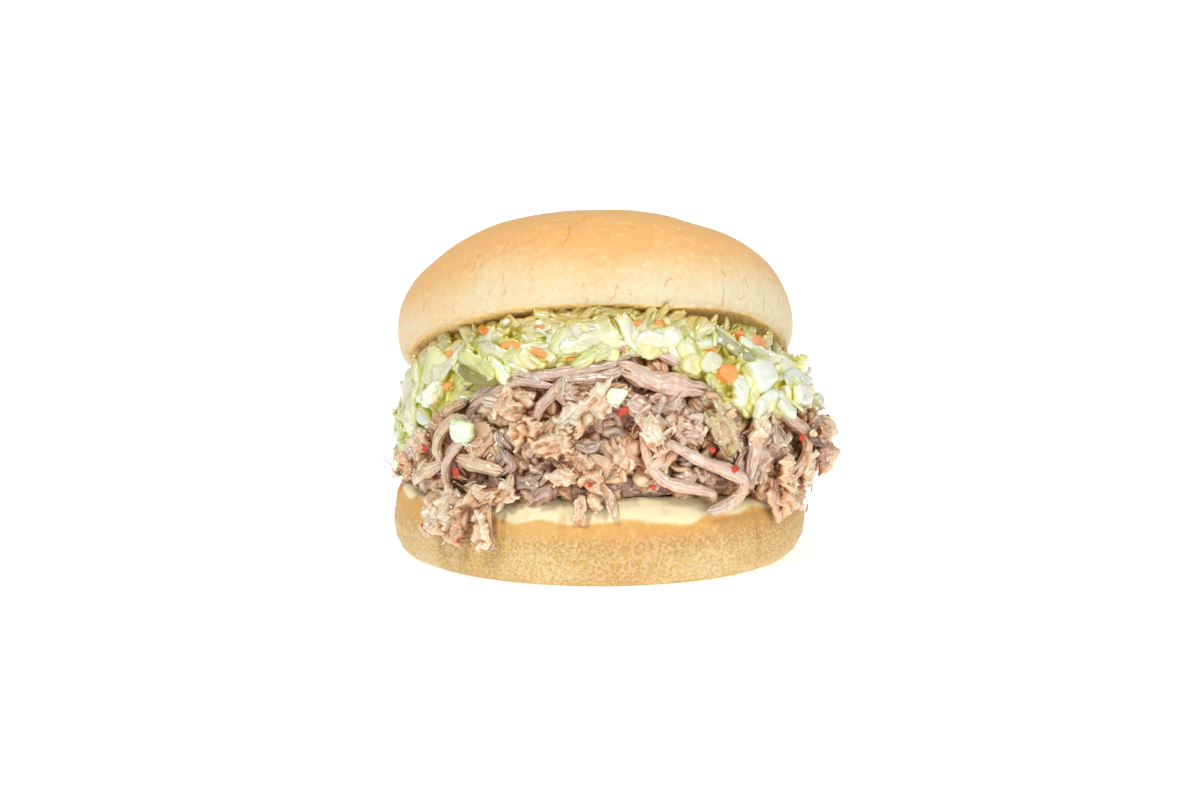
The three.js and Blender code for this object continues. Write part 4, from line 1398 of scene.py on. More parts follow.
@dataclass
class HeelBun(Bun):
    """The bottom bun, with a cream cut face that swells up at the front edge."""

    form: Form = FORM
    around_steps: int = 520
    finish: BreadFinish = BreadFinish(
        "Heel_Crust", rough=0.58, depth=1.2, soak=0.15, bleed=(1.0, 0.62, 0.35),
        specular=0.25, sheen=0.05, crumb=srgb(231, 219, 176), crack=srgb(200, 150, 80), pore=1100.0,
        pitted=0.5, walls=0.3,
        baked=((0.0, srgb(228, 214, 178)), (0.25, srgb(222, 192, 128)),
               (0.55, srgb(213, 172, 100)), (0.85, srgb(208, 156, 86)),
               (1.0, srgb(200, 144, 76))),
    )

    def build(self) -> Thing:
        """Makes the bun.

        Returns:
            The bun's object.
        """
        f, grain = self.form, Grain(5)
        side = [(f.heel_foot, 0), (52.2, 0.7), (53.6, 2.2), (54.8, 4.8), (f.heel_radius, 8.5),
                (54.9, 11.5), (54.5, 14), (53.9, 16.2), (52.9, f.heel_crust)]
        bed = [(51.6, 18.55)] + [(radius, f.heel_bed) for radius in (50.3, 40, 20, 1)]
        line = np.array([(1.0, 0), (20, 0), (40, 0)] + side + bed, float)
        start, crust, face, end = distances(line)[[0, 3, 14, -1]]
        dense = np.concatenate([np.linspace(start, crust, 16)[:-1],
                                np.linspace(crust, face, 62)[:-1], np.linspace(face, end, 22)])
        line = self.along(line, dense)
        r, z = line[:, 0][:, None], line[:, 1][:, None]
        degrees = np.linspace(-180, 180, self.around_steps, endpoint=False)[None, :]
        top = ease(z, f.heel_crust - 0.1, f.heel_bed - 0.02) * np.ones_like(degrees)
        foot = ease(z, 0.9, 0.0) * np.ones_like(degrees)
        wall = (1 - top) * (1 - foot)
        uneven = 1 + 0.006 * np.sin(np.radians(3 * degrees + 40)) * (z / f.heel_bed)
        at = polar(r * uneven, degrees, lerp(z, f.bed(r, degrees), top))
        arc = np.radians(degrees) * f.heel_radius
        crease = ease(grain.value(stacked(arc * 0.30, z * 0.05, 3.0)), 0.42, 0.8)
        crease = crease * wall * ease(z, 3, 9)
        soft = grain.layers(at * 0.06, 2) * 0.7 + grain.value(at * 0.2) * 0.22
        crumb = grain.layers(at * 0.45, 3) * 0.4
        tuck = np.exp(-(((z - 16.4) / 0.8) ** 2)) * (1 + grain.value(at * 0.2 + 30)) * 0.3
        push = wall * (soft - 0.45 * crease - tuck + 0.1 * grain.value(at * 0.9)) + top * crumb
        at = at + self.normals(line, degrees) * push[..., None]
        patchy = 0.12 * grain.layers(at * 0.05 + 10, 3)
        pale = ease(grain.layers(at * np.array([0.035, 0.035, 0.12]) + 4, 2), -0.25, 0.5)
        low = ease(z, 14.0, 7.0) * (0.5 + 0.5 * pale)
        wavy = 1.3 * grain.value(stacked(arc * 0.13, 0.0 * z, 8.0))
        edge = ease(z + wavy, 16.2, 17.1) * 0.74 + ease(z, 13.0, 16.0) * 0.10
        bake = (0.80 - 0.62 * low - edge + patchy) * (1 - top)
        opened = np.clip(top * ease(r, 46, 42) + ease(z, 15.5, 10) * (1 - top), 0, 0.88)
        stock = Stock()
        # The creases in the third channel get painted shade in the crust's finish.
        stock.grid(at, at[0].mean(0), at[-1].mean(0), stacked(np.clip(bake, 0, 1), opened, crease),
                   stacked(arc, dense[:, None], 0.0))
        return stock.make("Heel_Bread", self.finish.build())


# --------------------------------------------------------------------------- the filling
@dataclass
class Filling:
    """What the layers of the filling share: a face that pieces lie on, and repeatable draws."""

    form: Form = FORM
    seed: int = 0
    shade: Stops = ()

    def __post_init__(self) -> None:
        """Readies the noise and the random draws."""
        self.grain, self.rng = Grain(self.seed), np.random.default_rng(self.seed)
        self.draw = self.rng.uniform

    def wall(self, degrees: Any, height: Any) -> Array:
        """Radius of the layer's outer face."""
        raise NotImplementedError

    def on_wall(self, path: Iterable[Pair], lift: float) -> Array:
        """Places (angle, height) points on the layer's face, a distance off it."""
        spots = np.array(list(path), float)
        return polar(self.wall(spots[:, 0], spots[:, 1]) + lift, spots[:, 0], spots[:, 1])

    def add(self, stock: Stock, piece: Shred | Bundle | Wad | Chip) -> None:
        """Builds a piece with the layer's noise."""
        piece.build(stock, self.grain)

    def loose(self, piece: Shred | Wad | Chip) -> Stock:
        """Builds a small piece far in front, and lays it flat at the middle."""
        stock = Stock()
        self.add(stock, piece)
        return stock.laid_flat(FAR_FRONT)

    @staticmethod
    def sweep(low: int, middle: int, high: int) -> tuple[Array, Array, Array]:
        """The angles round a core, and how far up and out each of its rows lies.

        Args:
            low: how many rows its underside has.
            middle: how many its outer face has.
            high: how many its upper side has.

        Returns:
            The angles, and the shares up and out.
        """
        share = np.concatenate([np.zeros(low), np.linspace(0, 1, middle), np.ones(high)])
        span = np.concatenate([np.linspace(0.04, 0.97, low), np.ones(middle),
                               np.linspace(0.97, 0.04, high)])
        return np.linspace(-180, 180, 300, endpoint=False)[None, :], share[:, None], span[:, None]

    def add_core(self, stock: Stock, at: Array, push: Array, tone: Tone, light: Triple) -> None:
        """Adds a core, pushed in and out.

        Args:
            stock: takes its shell.
            at: its points by row and angle.
            push: how far each point is pushed out.
            tone: its colour.
            light: how light it is, how much that varies and how finely.
        """
        at = at + outward(at) * push[..., None]
        lit = light[0] + light[1] * self.grain.value(at * light[2])
        stock.grid(at, at[0].mean(0), at[-1].mean(0), np.array(tone.value) * lit[..., None], at)

    def lay_flakes(self, stock: Stock, flakes: Iterable[Flake], wall: Filling, first: float,
                   step: float, cut: dict[str, Any]) -> None:
        """Lays the named flat bits on a face of the filling.

        Args:
            stock: takes them.
            flakes: the bits.
            wall: the layer whose face they lie on.
            first: the first bit's seed.
            step: how far apart their seeds are.
            cut: what else they share.
        """
        for number, one in enumerate(flakes):
            lift = one.lift - one.thick * one.sunk
            self.add(stock, Chip(
                wall.on_wall([one.at], lift)[0], one.size, one.thick, one.tone.value,
                number * step + first, math.radians(one.tilt), math.radians(one.turn), one.curl,
                edge=one.edge.value if one.edge else None, **cut))


@dataclass(frozen=True)
class Strand:
    """A strand that shows at the front, by angle and height along it."""

    path: Pairs
    width: float
    tone: Tone = PINK
    lift: float = 1.4
    flat: float = 0.8
    fray: float = 1.6
    twist: float = 0.0
    groove: float = 0.13


@dataclass(frozen=True)
class Lump:
    """A chunk that shows at the front, by angle, height and size."""

    at: Pair
    size: Triple
    tone: Tone
    lift: float = 0.8
    spin: float = 0.0
    cells: int = 26


@dataclass(frozen=True)
class Flake:
    """A flat bit that shows at the front; its turn and tilt are in degrees."""

    at: Pair
    size: Pair
    turn: float
    tilt: float
    tone: Tone
    thick: float
    lift: float
    edge: Tone | None = None
    curl: float = 1.2
    sunk: float = 0.5


@dataclass(frozen=True)
class Leaf(Flake):
    """A cut flat bit of cabbage that shows at the front."""

    curl: float = 0.8
    sunk: float = 0.0


FRONT_STRANDS = tuple(Strand(*row) for row in (
    (((-39, 46), (-33, 50), (-25, 54), (-17, 53.5), (-8, 55), (2, 56.5), (8, 59)), 3.6, ROSE, 1.8),
    (((-38, 44.6), (-31, 48.6), (-24, 51.8), (-17, 51.6), (-13, 51)), 3.0, ROSE, 1.2),
    (((-11, 52.8), (-5, 53.2), (2, 54), (7, 55.7)), 3.2, ROSE, 1.6),
    (((6, 56), (12, 53.6), (20, 51.5), (29, 49.7)), 6.0, PINK, 2.8, 0.8, 2.4),
    (((8, 59.2), (14, 59.8), (20, 57.8), (25, 54.8)), 2.8, PINK, 1.4),
    (((17, 37.7), (26, 32.6), (34, 29.1), (39, 26), (39, 22.4), (34, 19.8), (29, 19)), 3.8,
     PINK, 2.8, 0.8, 0.8),
    (((11, 43), (12, 35.4), (14, 30.5), (18, 27), (25, 25), (31, 23.2), (32, 20.8)), 3.2,
     PINK, 1.6, 0.8, 0.8),
    (((-37, 37), (-42, 33), (-45, 28), (-46, 23)), 2.4, ROSE, 1.8, 0.8, 0.8),
    (((-39, 41.4), (-45, 40.5), (-48.5, 36.8), (-49, 33), (-47, 29.8)), 3.2, CREAM, 1.6),
    (((-47, 29), (-54, 26.2), (-63, 22.2)), 4.0, CREAM, 1.6, 0.5),
    (((6, 50.5), (0, 47.2), (-7, 43.4), (-14, 39.2)), 7.5, CREAM, 2.0, 0.7, 2.2, 0.0, 0.22),
    (((-10, 53), (-13, 49.3), (-16, 46), (-17, 42.3)), 3.2, ROSE, 1.8, 0.8, 0.8),
    (((5, 49.5), (10, 46.6), (14, 42.4), (16, 37.3), (15, 32.5)), 5.8, PINK, 1.2, 0.8, 2.2, 0.0, 0.24),
    (((55, 42.8), (47, 39.5), (44, 34.3), (42, 27.8)), 4.2, PINK, 1.8, 0.8, 2.2),
    (((68, 36), (76, 31), (84, 26)), 4.0, TAN, 1.6, 0.5),
    (((58, 41.4), (64, 35.2), (63, 29.3), (59, 25)), 4.0, PINK, 1.4),
    (((-39, 52.7), (-43, 48.8), (-44, 45.1)), 3.0, TAN, 1.0, 0.8, 1.6, 2.0),
    (((-44, 45), (-49, 42.4), (-56, 39.6)), 3.0, TAN, 1.2),
    (((-37, 22), (-37.5, 16.1), (-39, 11.4)), 3.6, FAT, 2.0, 0.5, 2.4),
    (((-32, 21), (-30, 16), (-29, 11.6)), 3.8, FAT, 1.8, 0.5, 2.4),
    (((-38, 23.6), (-32, 22.4), (-26, 24.4), (-24, 28)), 3.6, CREAM, 1.8, 0.6),
    (((30, 43.5), (34, 39.2), (36, 33.5)), 7.0, FAN, 1.4, 0.45, 2.6, 0.0, 0.19),
    (((-11, 32), (-7, 30.4), (-3, 33), (1, 32), (1, 28)), 3.2, CREAM, 1.2),
    (((-1, 27), (2, 23.6), (3, 20.6)), 3.4, CREAM, 0.8, 0.5, 2.6),
    (((-42, 31.4), (-34, 30.2), (-27, 28.9)), 4.2, CREAM, 1.0, 0.6),
    (((84, 33), (91, 28), (88, 23)), 3.0, TAN, 1.2),
    (((16, 30.4), (19, 34.1), (21, 36.8)), 2.6, TAN, 0.6),
    (((-27, 34.3), (-24, 31), (-27, 28.7)), 3.0, GREY, 0.4),
))

FRONT_LUMPS = tuple(Lump(*row) for row in (
    ((-26, 45), (15, 11, 9), FAT, 1.2, 0.2, 34),
    ((-18, 38.6), (8.5, 8, 8), CREAM, 1.6),
    ((-18, 26.2), (14, 10.5, 9), GREY, 0.8, 0.3, 34),
    ((-61, 29.5), (11, 12, 9), CREAM, 1.0, 0.8),
    ((-43, 17.6), (12, 12, 5.6), CREAM, 3.4, 0.4, 34),
    ((58, 22.8), (13.5, 15, 10), PINK, 1.8, 1.2, 34),
    ((24, 40.5), (11, 10.5, 8.5), ROSE, 1.0, 1.0),
    ((18, 47), (12, 8, 8), GREY, 0.4, 0.2),
    ((-36, 35.5), (11, 8, 8), TAN, 0.2, 0.4),
    ((-7, 35.6), (16, 8, 8), GREY, 0.6, 0.2),
    ((6, 33), (12, 11, 8), TAN, -0.2, 0.9),
    ((72, 38.5), (12, 10, 8), TAN, 0.6, 0.5),
    ((28, 28.5), (13, 9, 7), GREY, -0.6, 0.3),
    ((50, 31), (12, 11, 7), ROSE, -0.6, 0.7),
    ((-52, 36.5), (11, 9, 7), TAN, 0.2, 2.5),
    ((-50, 25), (12, 8, 7), TAN, -0.4, 0.1),
    ((-2, 24.6), (14, 7, 7), GREY, -0.6, 0.1),
    ((-7, 48.4), (8, 5.5, 5), ROSE, 1.4, 2.6),
))

FRONT_FLAKES = tuple(Flake(*row) for row in (
    ((-3, 45), (17, 8.5), 44, 12, FAT, 2.4, 3.2),
    ((-11, 37.4), (11, 7.5), 22, -10, CREAM, 2.2, 2.8),
    ((-8, 42), (9, 5), 60, 20, FAT, 1.6, 3.4),
    ((-24, 46.6), (9, 6), -28, 15, CREAM, 1.8, 2.8),
    ((-20, 40.6), (8, 6), 30, -12, CREAM, 1.8, 2.8),
    ((-6, 31), (9.5, 6), -20, 15, CREAM, 1.8, 2.4),
    ((-1.6, 28.4), (8, 5), 62, -10, CREAM, 1.6, 2.6),
    ((-10, 29.4), (6.5, 4), 12, 20, FAT, 1.4, 2.8),
    ((-5, 20), (6.5, 3.6), 78, 0, CREAM, 1.2, 1.4),
    ((-1.6, 22.4), (5, 3), -60, 10, FAT, 1.2, 1.8),
    ((-43, 16.4), (11.5, 7.5), 66, 10, FAT, 2.2, 4.2),
    ((-38.5, 14.4), (9.5, 5), 98, 0, TAN, 1.8, 3.6),
    ((-30.4, 15.4), (9.5, 5.6), -72, 10, FAT, 1.8, 3.2),
    ((-34, 20.2), (10, 6.4), 28, 15, CREAM, 2.0, 3.4),
    ((-47, 20), (8, 6), -24, 0, TAN, 1.8, 3.4),
    ((-27, 22.6), (7.5, 4.6), 40, 10, FAT, 1.6, 2.8),
    ((53, 26.6), (8, 5.4), 100, 15, CREAM, 1.8, 2.8),
    ((60.5, 19.5), (9, 6), 62, 10, TAN, 2.0, 3.0),
    ((63, 26.4), (8, 4.4), 84, -12, FAT, 1.6, 3.0),
    ((56, 17.8), (7, 4.6), -40, 10, CREAM, 1.6, 2.8),
    ((33.6, 38.6), (12.5, 8.5), -60, 16, FAN, 1.6, 2.6),
    ((69, 31), (11, 5), 96, 10, BROWN, 1.6, 2.2),
    ((64, 33.4), (5.6, 2.4), -56, 20, CHAR, 1.0, 3.2),
    ((-56, 33.4), (7, 4.4), 30, 10, CREAM, 1.6, 2.6),
    ((-63, 27), (6.5, 4.6), -40, 10, TAN, 1.6, 2.8),
    ((13, 40), (9, 4.6), -64, 15, FAT, 1.4, 2.8),
    ((73, 33.6), (10, 5.4), 82, 10, CREAM, 1.8, 2.6),
    ((75, 27.4), (8.5, 5.6), 100, -10, CREAM, 1.8, 2.4),
    ((46, 38.6), (8, 4.6), 70, 10, FAT, 1.6, 2.4),
))

CHILLI_SPOTS: Pairs = (
    (-4, 41.7), (6, 45.7), (-43, 16.7), (-39, 28.1), (-52, 32.8), (28, 35.6), (35, 30),
    (57, 35.2), (67, 26.1), (-2, 27.7), (13, 27.2),
)

STRAY_THREAD: Pairs = ((66, 21.5), (67.5, 18.4), (66, 15.8), (69, 13.4), (71, 15.2))


@dataclass
class PulledPork(Filling):
    """The heap of pulled pork: a core, lumps, strands, loose fibres and chilli flakes."""

    seed: int = 11
    # Painted light and shade by how hidden a spot lies: open spots paler and cooler as in light, hidden
    # ones darker and browner.
    shade: Stops = (
        (0.0, (0.78, 0.95, 1.12)), (0.22, (0.84, 0.92, 1.0)), (0.50, (0.90, 0.79, 0.65)),
        (0.75, (0.66, 0.42, 0.24)), (1.0, (0.34, 0.16, 0.06)),
    )
    meat: PorkFinish = PorkFinish(
        "Pork_Meat", rough=0.42, depth=1.5, soak=0.6, bleed=(1.0, 0.7, 0.5), coat=1.0)
    pepper: Finish = Finish("Chilli_Skin", rough=0.4, depth=0.5, soak=0.1, coat=0.2)
    everyday: tuple[Tone, ...] = (PINK, TAN, GREY, CREAM, ROSE, FAT, CREAM, TAN)

    def wall(self, degrees: Any, height: Any) -> Array:
        """Radius of the heap's outer face."""
        return self.form.pork_wall(degrees, height)

    def tone(self) -> Colour:
        """Draws one of the everyday tones, a little lighter or darker."""
        picked = np.array(self.everyday[self.rng.integers(len(self.everyday))].value)
        return tuple(picked * (1 + self.rng.normal(0, 0.07)))

    def core(self, stock: Stock) -> None:
        """Adds the lumpy inside of the heap that shows between the pieces, darkened as painted shade."""
        f, (degrees, share, span) = self.form, self.sweep(8, 40, 12)
        reach = self.wall(degrees, lerp(f.heel_bed + 3, around(f.pork_top, degrees), share)) - 5.2
        radius = span * reach * (1 - 0.06 * ease(share, 0.8, 1.0))
        floor, roof = f.bed(radius, degrees) + f.gap, f.pork_roof(radius, degrees) - 0.4
        at = polar(radius, degrees, lerp(floor, roof, share))
        lump = self.grain.layers(at * 0.16, 3) * 1.6 + self.grain.ridges(at * 0.4) * 0.8
        # The dark brown, dimmed further, is painted shade between the pieces.
        self.add_core(stock, at, lump * ease(span, 0.5, 1.0), BROWN, (0.75, 0.25, 0.3))

    def rag(self, centre: Array, size: float, tone: Colour, heading: float | None = None,
            cells: tuple[int, int] = (12, 11)) -> Chip:
        """One small torn flake that stands off a lump at a slant.

        Args:
            centre: its middle.
            size: about how wide it is.
            tone: its colour.
            heading: how far it is turned, or None for any turn.
            cells: how fine its mesh is.

        Returns:
            The flake.
        """
        draw = self.draw
        spin = draw(0, math.pi) if heading is None else heading
        return Chip(centre, (size * draw(1.0, 1.9), size * draw(0.5, 1.0)), draw(0.5, 1.1), tone,
                    draw(0, 90), draw(-1.0, 1.0), spin, draw(0.6, 1.6), cells, 0.35, 0.9,
                    round=0.5, pitch=1.2, soft=0.6, knobs=0.8, painted_edge_light=(1.05, 1.05, 1.02))

    def tufts(self, stock: Stock, centre: Array, size: Sequence[float], tone: Colour,
              count: int, spin: float = 0.0) -> None:
        """Lays torn bundles and flakes over a lump, roughly along its own fibres.

        Args:
            stock: takes them.
            centre: the lump's middle.
            size: the lump's size.
            tone: the lump's colour.
            count: how many there are.
            spin: how far the lump is turned.
        """
        out, rng, draw = level(centre), self.rng, self.draw
        side = np.cross(UP, out)
        wide = float(np.mean(size[:2]))
        for k in range(count):
            a, b = draw(-1, 1, 2) * wide * 0.40
            dome = math.sqrt(max(0.15, 1 - (a * a + b * b) / (wide * wide * 0.25)))
            middle = centre + side * a + UP * b + out * (size[2] * 0.5 * dome)
            tint = tuple(np.array(tone) * (1 + rng.normal(0.03, 0.09)))
            heading, reach = spin + rng.normal(0, 0.5), draw(0.35, 0.65) * wide
            if k % 3:
                self.add(stock, self.rag(middle, draw(2.4, 4.8), tint, heading))
                continue
            step = side * math.cos(heading) + UP * math.sin(heading)
            bow = out * draw(0.4, 1.4) + np.cross(out, step) * draw(-1, 1)
            dip = out * draw(0.2, 1.4)
            route = np.array([middle - step * reach / 2 - dip, middle - step * reach / 5 + bow * 0.4,
                              middle + step * reach / 5 + bow * 0.5, middle + step * reach / 2 - dip])
            self.add(stock, Bundle(route, draw(1.6, 3.6), draw(0.8, 1.6), tint, draw(0, 90),
                                   int(rng.integers(3, 5)), 0.9, 7, 13))

    def front(self, strands: Stock, lumps: Stock, tufts: Stock) -> None:
        """Builds the named strands, lumps and flakes of the front, into three stocks.

        Args:
            strands: takes the strands.
            lumps: takes the lumps.
            tufts: takes the flakes and what lies over the lumps.
        """
        for number, one in enumerate(FRONT_STRANDS):
            route = self.on_wall(one.path, one.lift + 0.5 - one.width * one.flat / 2)
            if one.groove > 0.2:
                for spot in smooth_route(route, 7):
                    middle = spot + level(spot) * one.width * one.flat * 0.35
                    self.add(tufts, self.rag(middle, self.draw(3.0, 5.0), one.tone.value, 0.7))
            self.add(strands, Shred(
                route, one.width, one.width * one.flat, one.tone.value, number * 1.37 + 0.4,
                int(distances(route)[-1] * 2.4) + 16, 36, one.groove, one.fray, 0.16, one.twist,
                taper=0.35))
        for number, one in enumerate(FRONT_LUMPS):
            centre = self.on_wall([one.at], one.lift - one.size[2] / 2)[0]
            self.add(
                lumps, Wad(centre, one.size, one.tone.value, number * 2.3 + 1.1, one.cells, one.spin))
            self.tufts(tufts, centre, one.size, one.tone.value, 3, one.spin)
        self.lay_flakes(tufts, FRONT_FLAKES, self, 0.3, 2.9, {
            "cells": (38, 30), "rib": 0.35, "torn": 1.1, "round": 0.35, "pitch": 1.3,
            "soft": 0.7, "knobs": 3.4, "painted_edge_light": (1.03, 1.04, 1.03)})
        self.add(tufts,
                 Shred(self.on_wall(STRAY_THREAD, 1.6), 0.8, 0.6, TAN.value, 4.0, 40, 8, 0.0, 0.0, 0.05))

    def fill(self, strands: Stock, lumps: Stock, low: float, high: float, deep: float) -> None:
        """Fills a stretch of the heap's face with lumps and torn bundles in uneven rows.

        Args:
            strands: takes the bundles and flakes.
            lumps: takes the lumps.
            low: the angle where the stretch starts.
            high: the angle where it ends.
            deep: how far under the face the pieces lie.
        """
        f, draw = self.form, self.draw
        for column, angle in enumerate(np.arange(low, high, 7.4)):
            top = float(around(f.pork_top, angle))
            rows = max(1, round((top - f.heel_bed - 1.5) / 6.6))
            for row in range(rows):
                degrees = angle + draw(-2.6, 2.6) + (column % 2) * 1.5
                foot = float(f.bed(f.lip_radius, degrees)) + 3.4
                height = lerp(foot, top - 1.6, (row + draw(0.2, 0.8)) / rows)
                size = draw(7.0, 12.5)
                shape = (size * draw(1.0, 1.4), size * draw(0.7, 1.0), size * 0.85)
                tone, sunk = self.tone(), draw(0, 1.4)
                centre = self.on_wall([(degrees, height)], -size * 0.42 - deep - sunk)[0]
                self.add(lumps, Wad(centre, shape, tone, draw(0, 90), 11, draw(0, math.pi)))
                self.tufts(strands, centre, shape, tone, 2, draw(0, math.pi))
                if draw() < 0.4:
                    self.loose_bundle(strands, degrees + draw(-4, 4), height + draw(-3, 3), deep * 0.6)

    def loose_bundle(self, stock: Stock, degrees: float, height: float, deep: float) -> None:
        """Lays one bent torn bundle on the heap's face.

        Args:
            stock: takes it.
            degrees: the angle of its middle.
            height: the height of its middle.
            deep: how far under the face it lies.
        """
        f, draw = self.form, self.draw
        heading, reach = draw(0, math.pi), draw(3.0, 7.0)
        top = float(around(f.pork_top, degrees)) - 0.4
        foot = float(f.bed(f.lip_radius, degrees)) + 1.8
        path = []
        for k, bow in zip((-1.0, -0.35, 0.35, 1.0), (0.0, *draw(-0.9, 0.9, 3))):
            turn = heading + bow * 0.7
            z = height + math.sin(turn) * reach * k + bow * 1.4
            x = degrees + math.degrees(math.cos(turn) * reach * k / 54)
            path.append((x, float(np.clip(z, foot, max(top, foot)))))
        width = draw(2.6, 5.2)
        route = self.on_wall(path, -width * 0.3 - deep + draw(-0.4, 1.2))
        route[[0, -1]] -= level(route[[0, -1]]) * draw(0.3, 1.8, (2, 1))
        self.add(stock, Bundle(route, width, width * draw(0.4, 0.7), self.tone(), draw(0, 90),
                               int(self.rng.integers(3, 6)), draw(0.2, 1.0), 9, 18))

    def back_spot(self, place: float) -> Triple:
        """The angle, the heap's depth and the height of one piece of the sides and back."""
        degrees, bed = lerp(86, 290, (place * GOLDEN) % 1), self.form.heel_bed
        depth = float(around(self.form.pork_top, degrees)) - bed
        return degrees, depth, chance(place, 1, bed + 2.4, bed + depth - 1.4)

    def side_strands(self, strands: Stock, lumps: Stock) -> None:
        """Builds the broad strands and chunks of the sides and back, into two stocks.

        Args:
            strands: takes the strands and tufts.
            lumps: takes the chunks.
        """
        bed = self.form.heel_bed
        for i in range(1, 19):
            degrees, depth, height = self.back_spot(i)
            reach, rise = chance(i, 2, 7, 13), chance(i, 3, -0.45, 0.45) * depth
            bow, end = chance(i, 4, -3, 3), height + rise / 2
            heights = (height - rise / 2, height + bow, end + bow / 2, end - bow)
            path = [(degrees + reach * (k / 3 - 0.5) * 2,
                     float(np.clip(z, bed + 1.8, bed + depth - 0.6))) for k, z in enumerate(heights)]
            width, lift = chance(i, 5, 3, 4.6), chance(i, 6, 0.2, 1.8)
            tone = (PINK, CREAM, ROSE, TAN)[i % 4].value
            self.add(strands, Shred(self.on_wall(path, lift - width * 0.4), width, width * 0.8,
                                    tone, i * 3.3, 60, 24, 0.14, 1.8))
        for i in range(1, 13):
            degrees, depth, height = self.back_spot(i + 0.37)
            size = chance(i, 7, 8, 13)
            shape = (size, min(size * 0.8, depth), 8.0)
            centre = self.on_wall([(degrees, height)], 0.5 - 4)[0]
            tone = (TAN, PINK, GREY)[i % 3].value
            self.add(lumps, Wad(centre, shape, tone, i * 4.1, 20, chance(i, 8) * 3))
            self.tufts(strands, centre, shape, tone, 5)

    def small_pieces(self) -> tuple[list[Stock], list[Stock], list[Stock]]:
        """Makes the small pieces that are strewn over the heap.

        Returns:
            The threads, the torn flakes and crumbs, and the chilli flakes.
        """
        draw, threads, rags, peppers = self.draw, [], [], []
        for _ in range(6):
            reach, bend = draw(1.6, 4.0), draw(-1.2, 1.2, 2)
            route = FAR_FRONT + np.array([[-reach, 0.2, 0], [-reach / 3, -0.5, bend[0]],
                                          [reach / 3, -0.7, bend[1]], [reach, -draw(0, 1.8), 0]])
            threads.append(self.loose(Shred(route, draw(0.25, 0.55), 0.28, FAT.value,
                                            draw(0, 9), 10, 5, 0.0, 0.0, 0.05, taper=0.8)))
        for k in range(8):
            tone = (FAT, CREAM, PINK, TAN)[k % 4].value
            size = draw(1.1, 2.2) if k < 5 else draw(1.0, 1.9)
            rags.append(self.loose(
                self.rag(FAR_FRONT, size, tone, cells=(7, 6)) if k < 5
                else Wad(FAR_FRONT, (size * 1.3, size, size), tone, draw(0, 9), 5, 0, 0.25)))
        for _ in range(4):
            peppers.append(self.loose(Chip(
                FAR_FRONT + np.array([0, -0.25, 0]), (draw(1.0, 2.4), draw(0.7, 1.3)), 0.35,
                CHILLI.value, draw(0, 90), draw(-0.3, 0.3), 0, 0.5, (6, 5), 0.3, 0.6)))
        return threads, rags, peppers

    def build(self) -> list[Thing]:
        """Makes the heap.

        Returns:
            The heap's objects.
        """
        meat, pepper = self.meat.build(), self.pepper.build()
        inside, front, lumps, tufts, fill, packed, sides, round_back = (Stock() for _ in range(8))
        self.core(inside)
        self.front(front, lumps, tufts)
        self.fill(fill, packed, -86, 90, 2.0)
        self.side_strands(sides, round_back)
        self.fill(sides, round_back, 96, 268, 0.6)
        groups = {"Pork_Core": inside, "Pork_Strands": front, "Pork_Lumps": lumps,
                  "Pork_Tufts": tufts, "Pork_Fill_Strands": fill, "Pork_Fill_Lumps": packed,
                  "Pork_Side_Strands": sides, "Pork_Side_Lumps": round_back}
        crowding = Crowding(groups.values())
        for stock in groups.values():
            # Painted shade deep in the heap, and painted light and shade by how hidden each spot lies.
            stock.paint_depth_shade(self.wall, (0.72, 0.55, 0.38), 1.5, 7.0)
            stock.shade(crowding, self.shade)
        made = [stock.make(name, meat) for name, stock in groups.items()]
        rough = (lumps, tufts, fill, packed, sides, round_back)
        carrier = Stock([shell for stock in rough for shell in stock.shells])
        threads, rags, peppers = self.small_pieces()
        strew = Strewer().strew
        made += [strew("Pork_Threads", carrier, threads, meat, 3.4, 5),
                 strew("Pork_Crumbs", carrier, rags, meat, 2.2, 7),
                 strew("Chilli_Flakes", carrier, peppers, pepper, 0.05, 3)]
        flecks = Stock()
        for number, spot in enumerate(CHILLI_SPOTS):
            size = lerp(2.9, 1.7, number / len(CHILLI_SPOTS))
            self.add(flecks, Chip(self.on_wall([spot], 3.4)[0], (size, size * 0.62), 0.5,
                                  CHILLI.value, number * 1.9, 0.3, 0.6 * number, 1.6, (12, 8),
                                  0.3, 1.1, round=0.9))
        return made + [flecks.make("Chilli_Bits", pepper)]


# --------------------------------------------------------------------------- the slaw
@dataclass(frozen=True)
class Ribbon:
    """A shred of slaw that shows at the front, by angle and height along it."""

    path: Pairs
    width: float
    tone: Tone
    thick: float
    lift: float


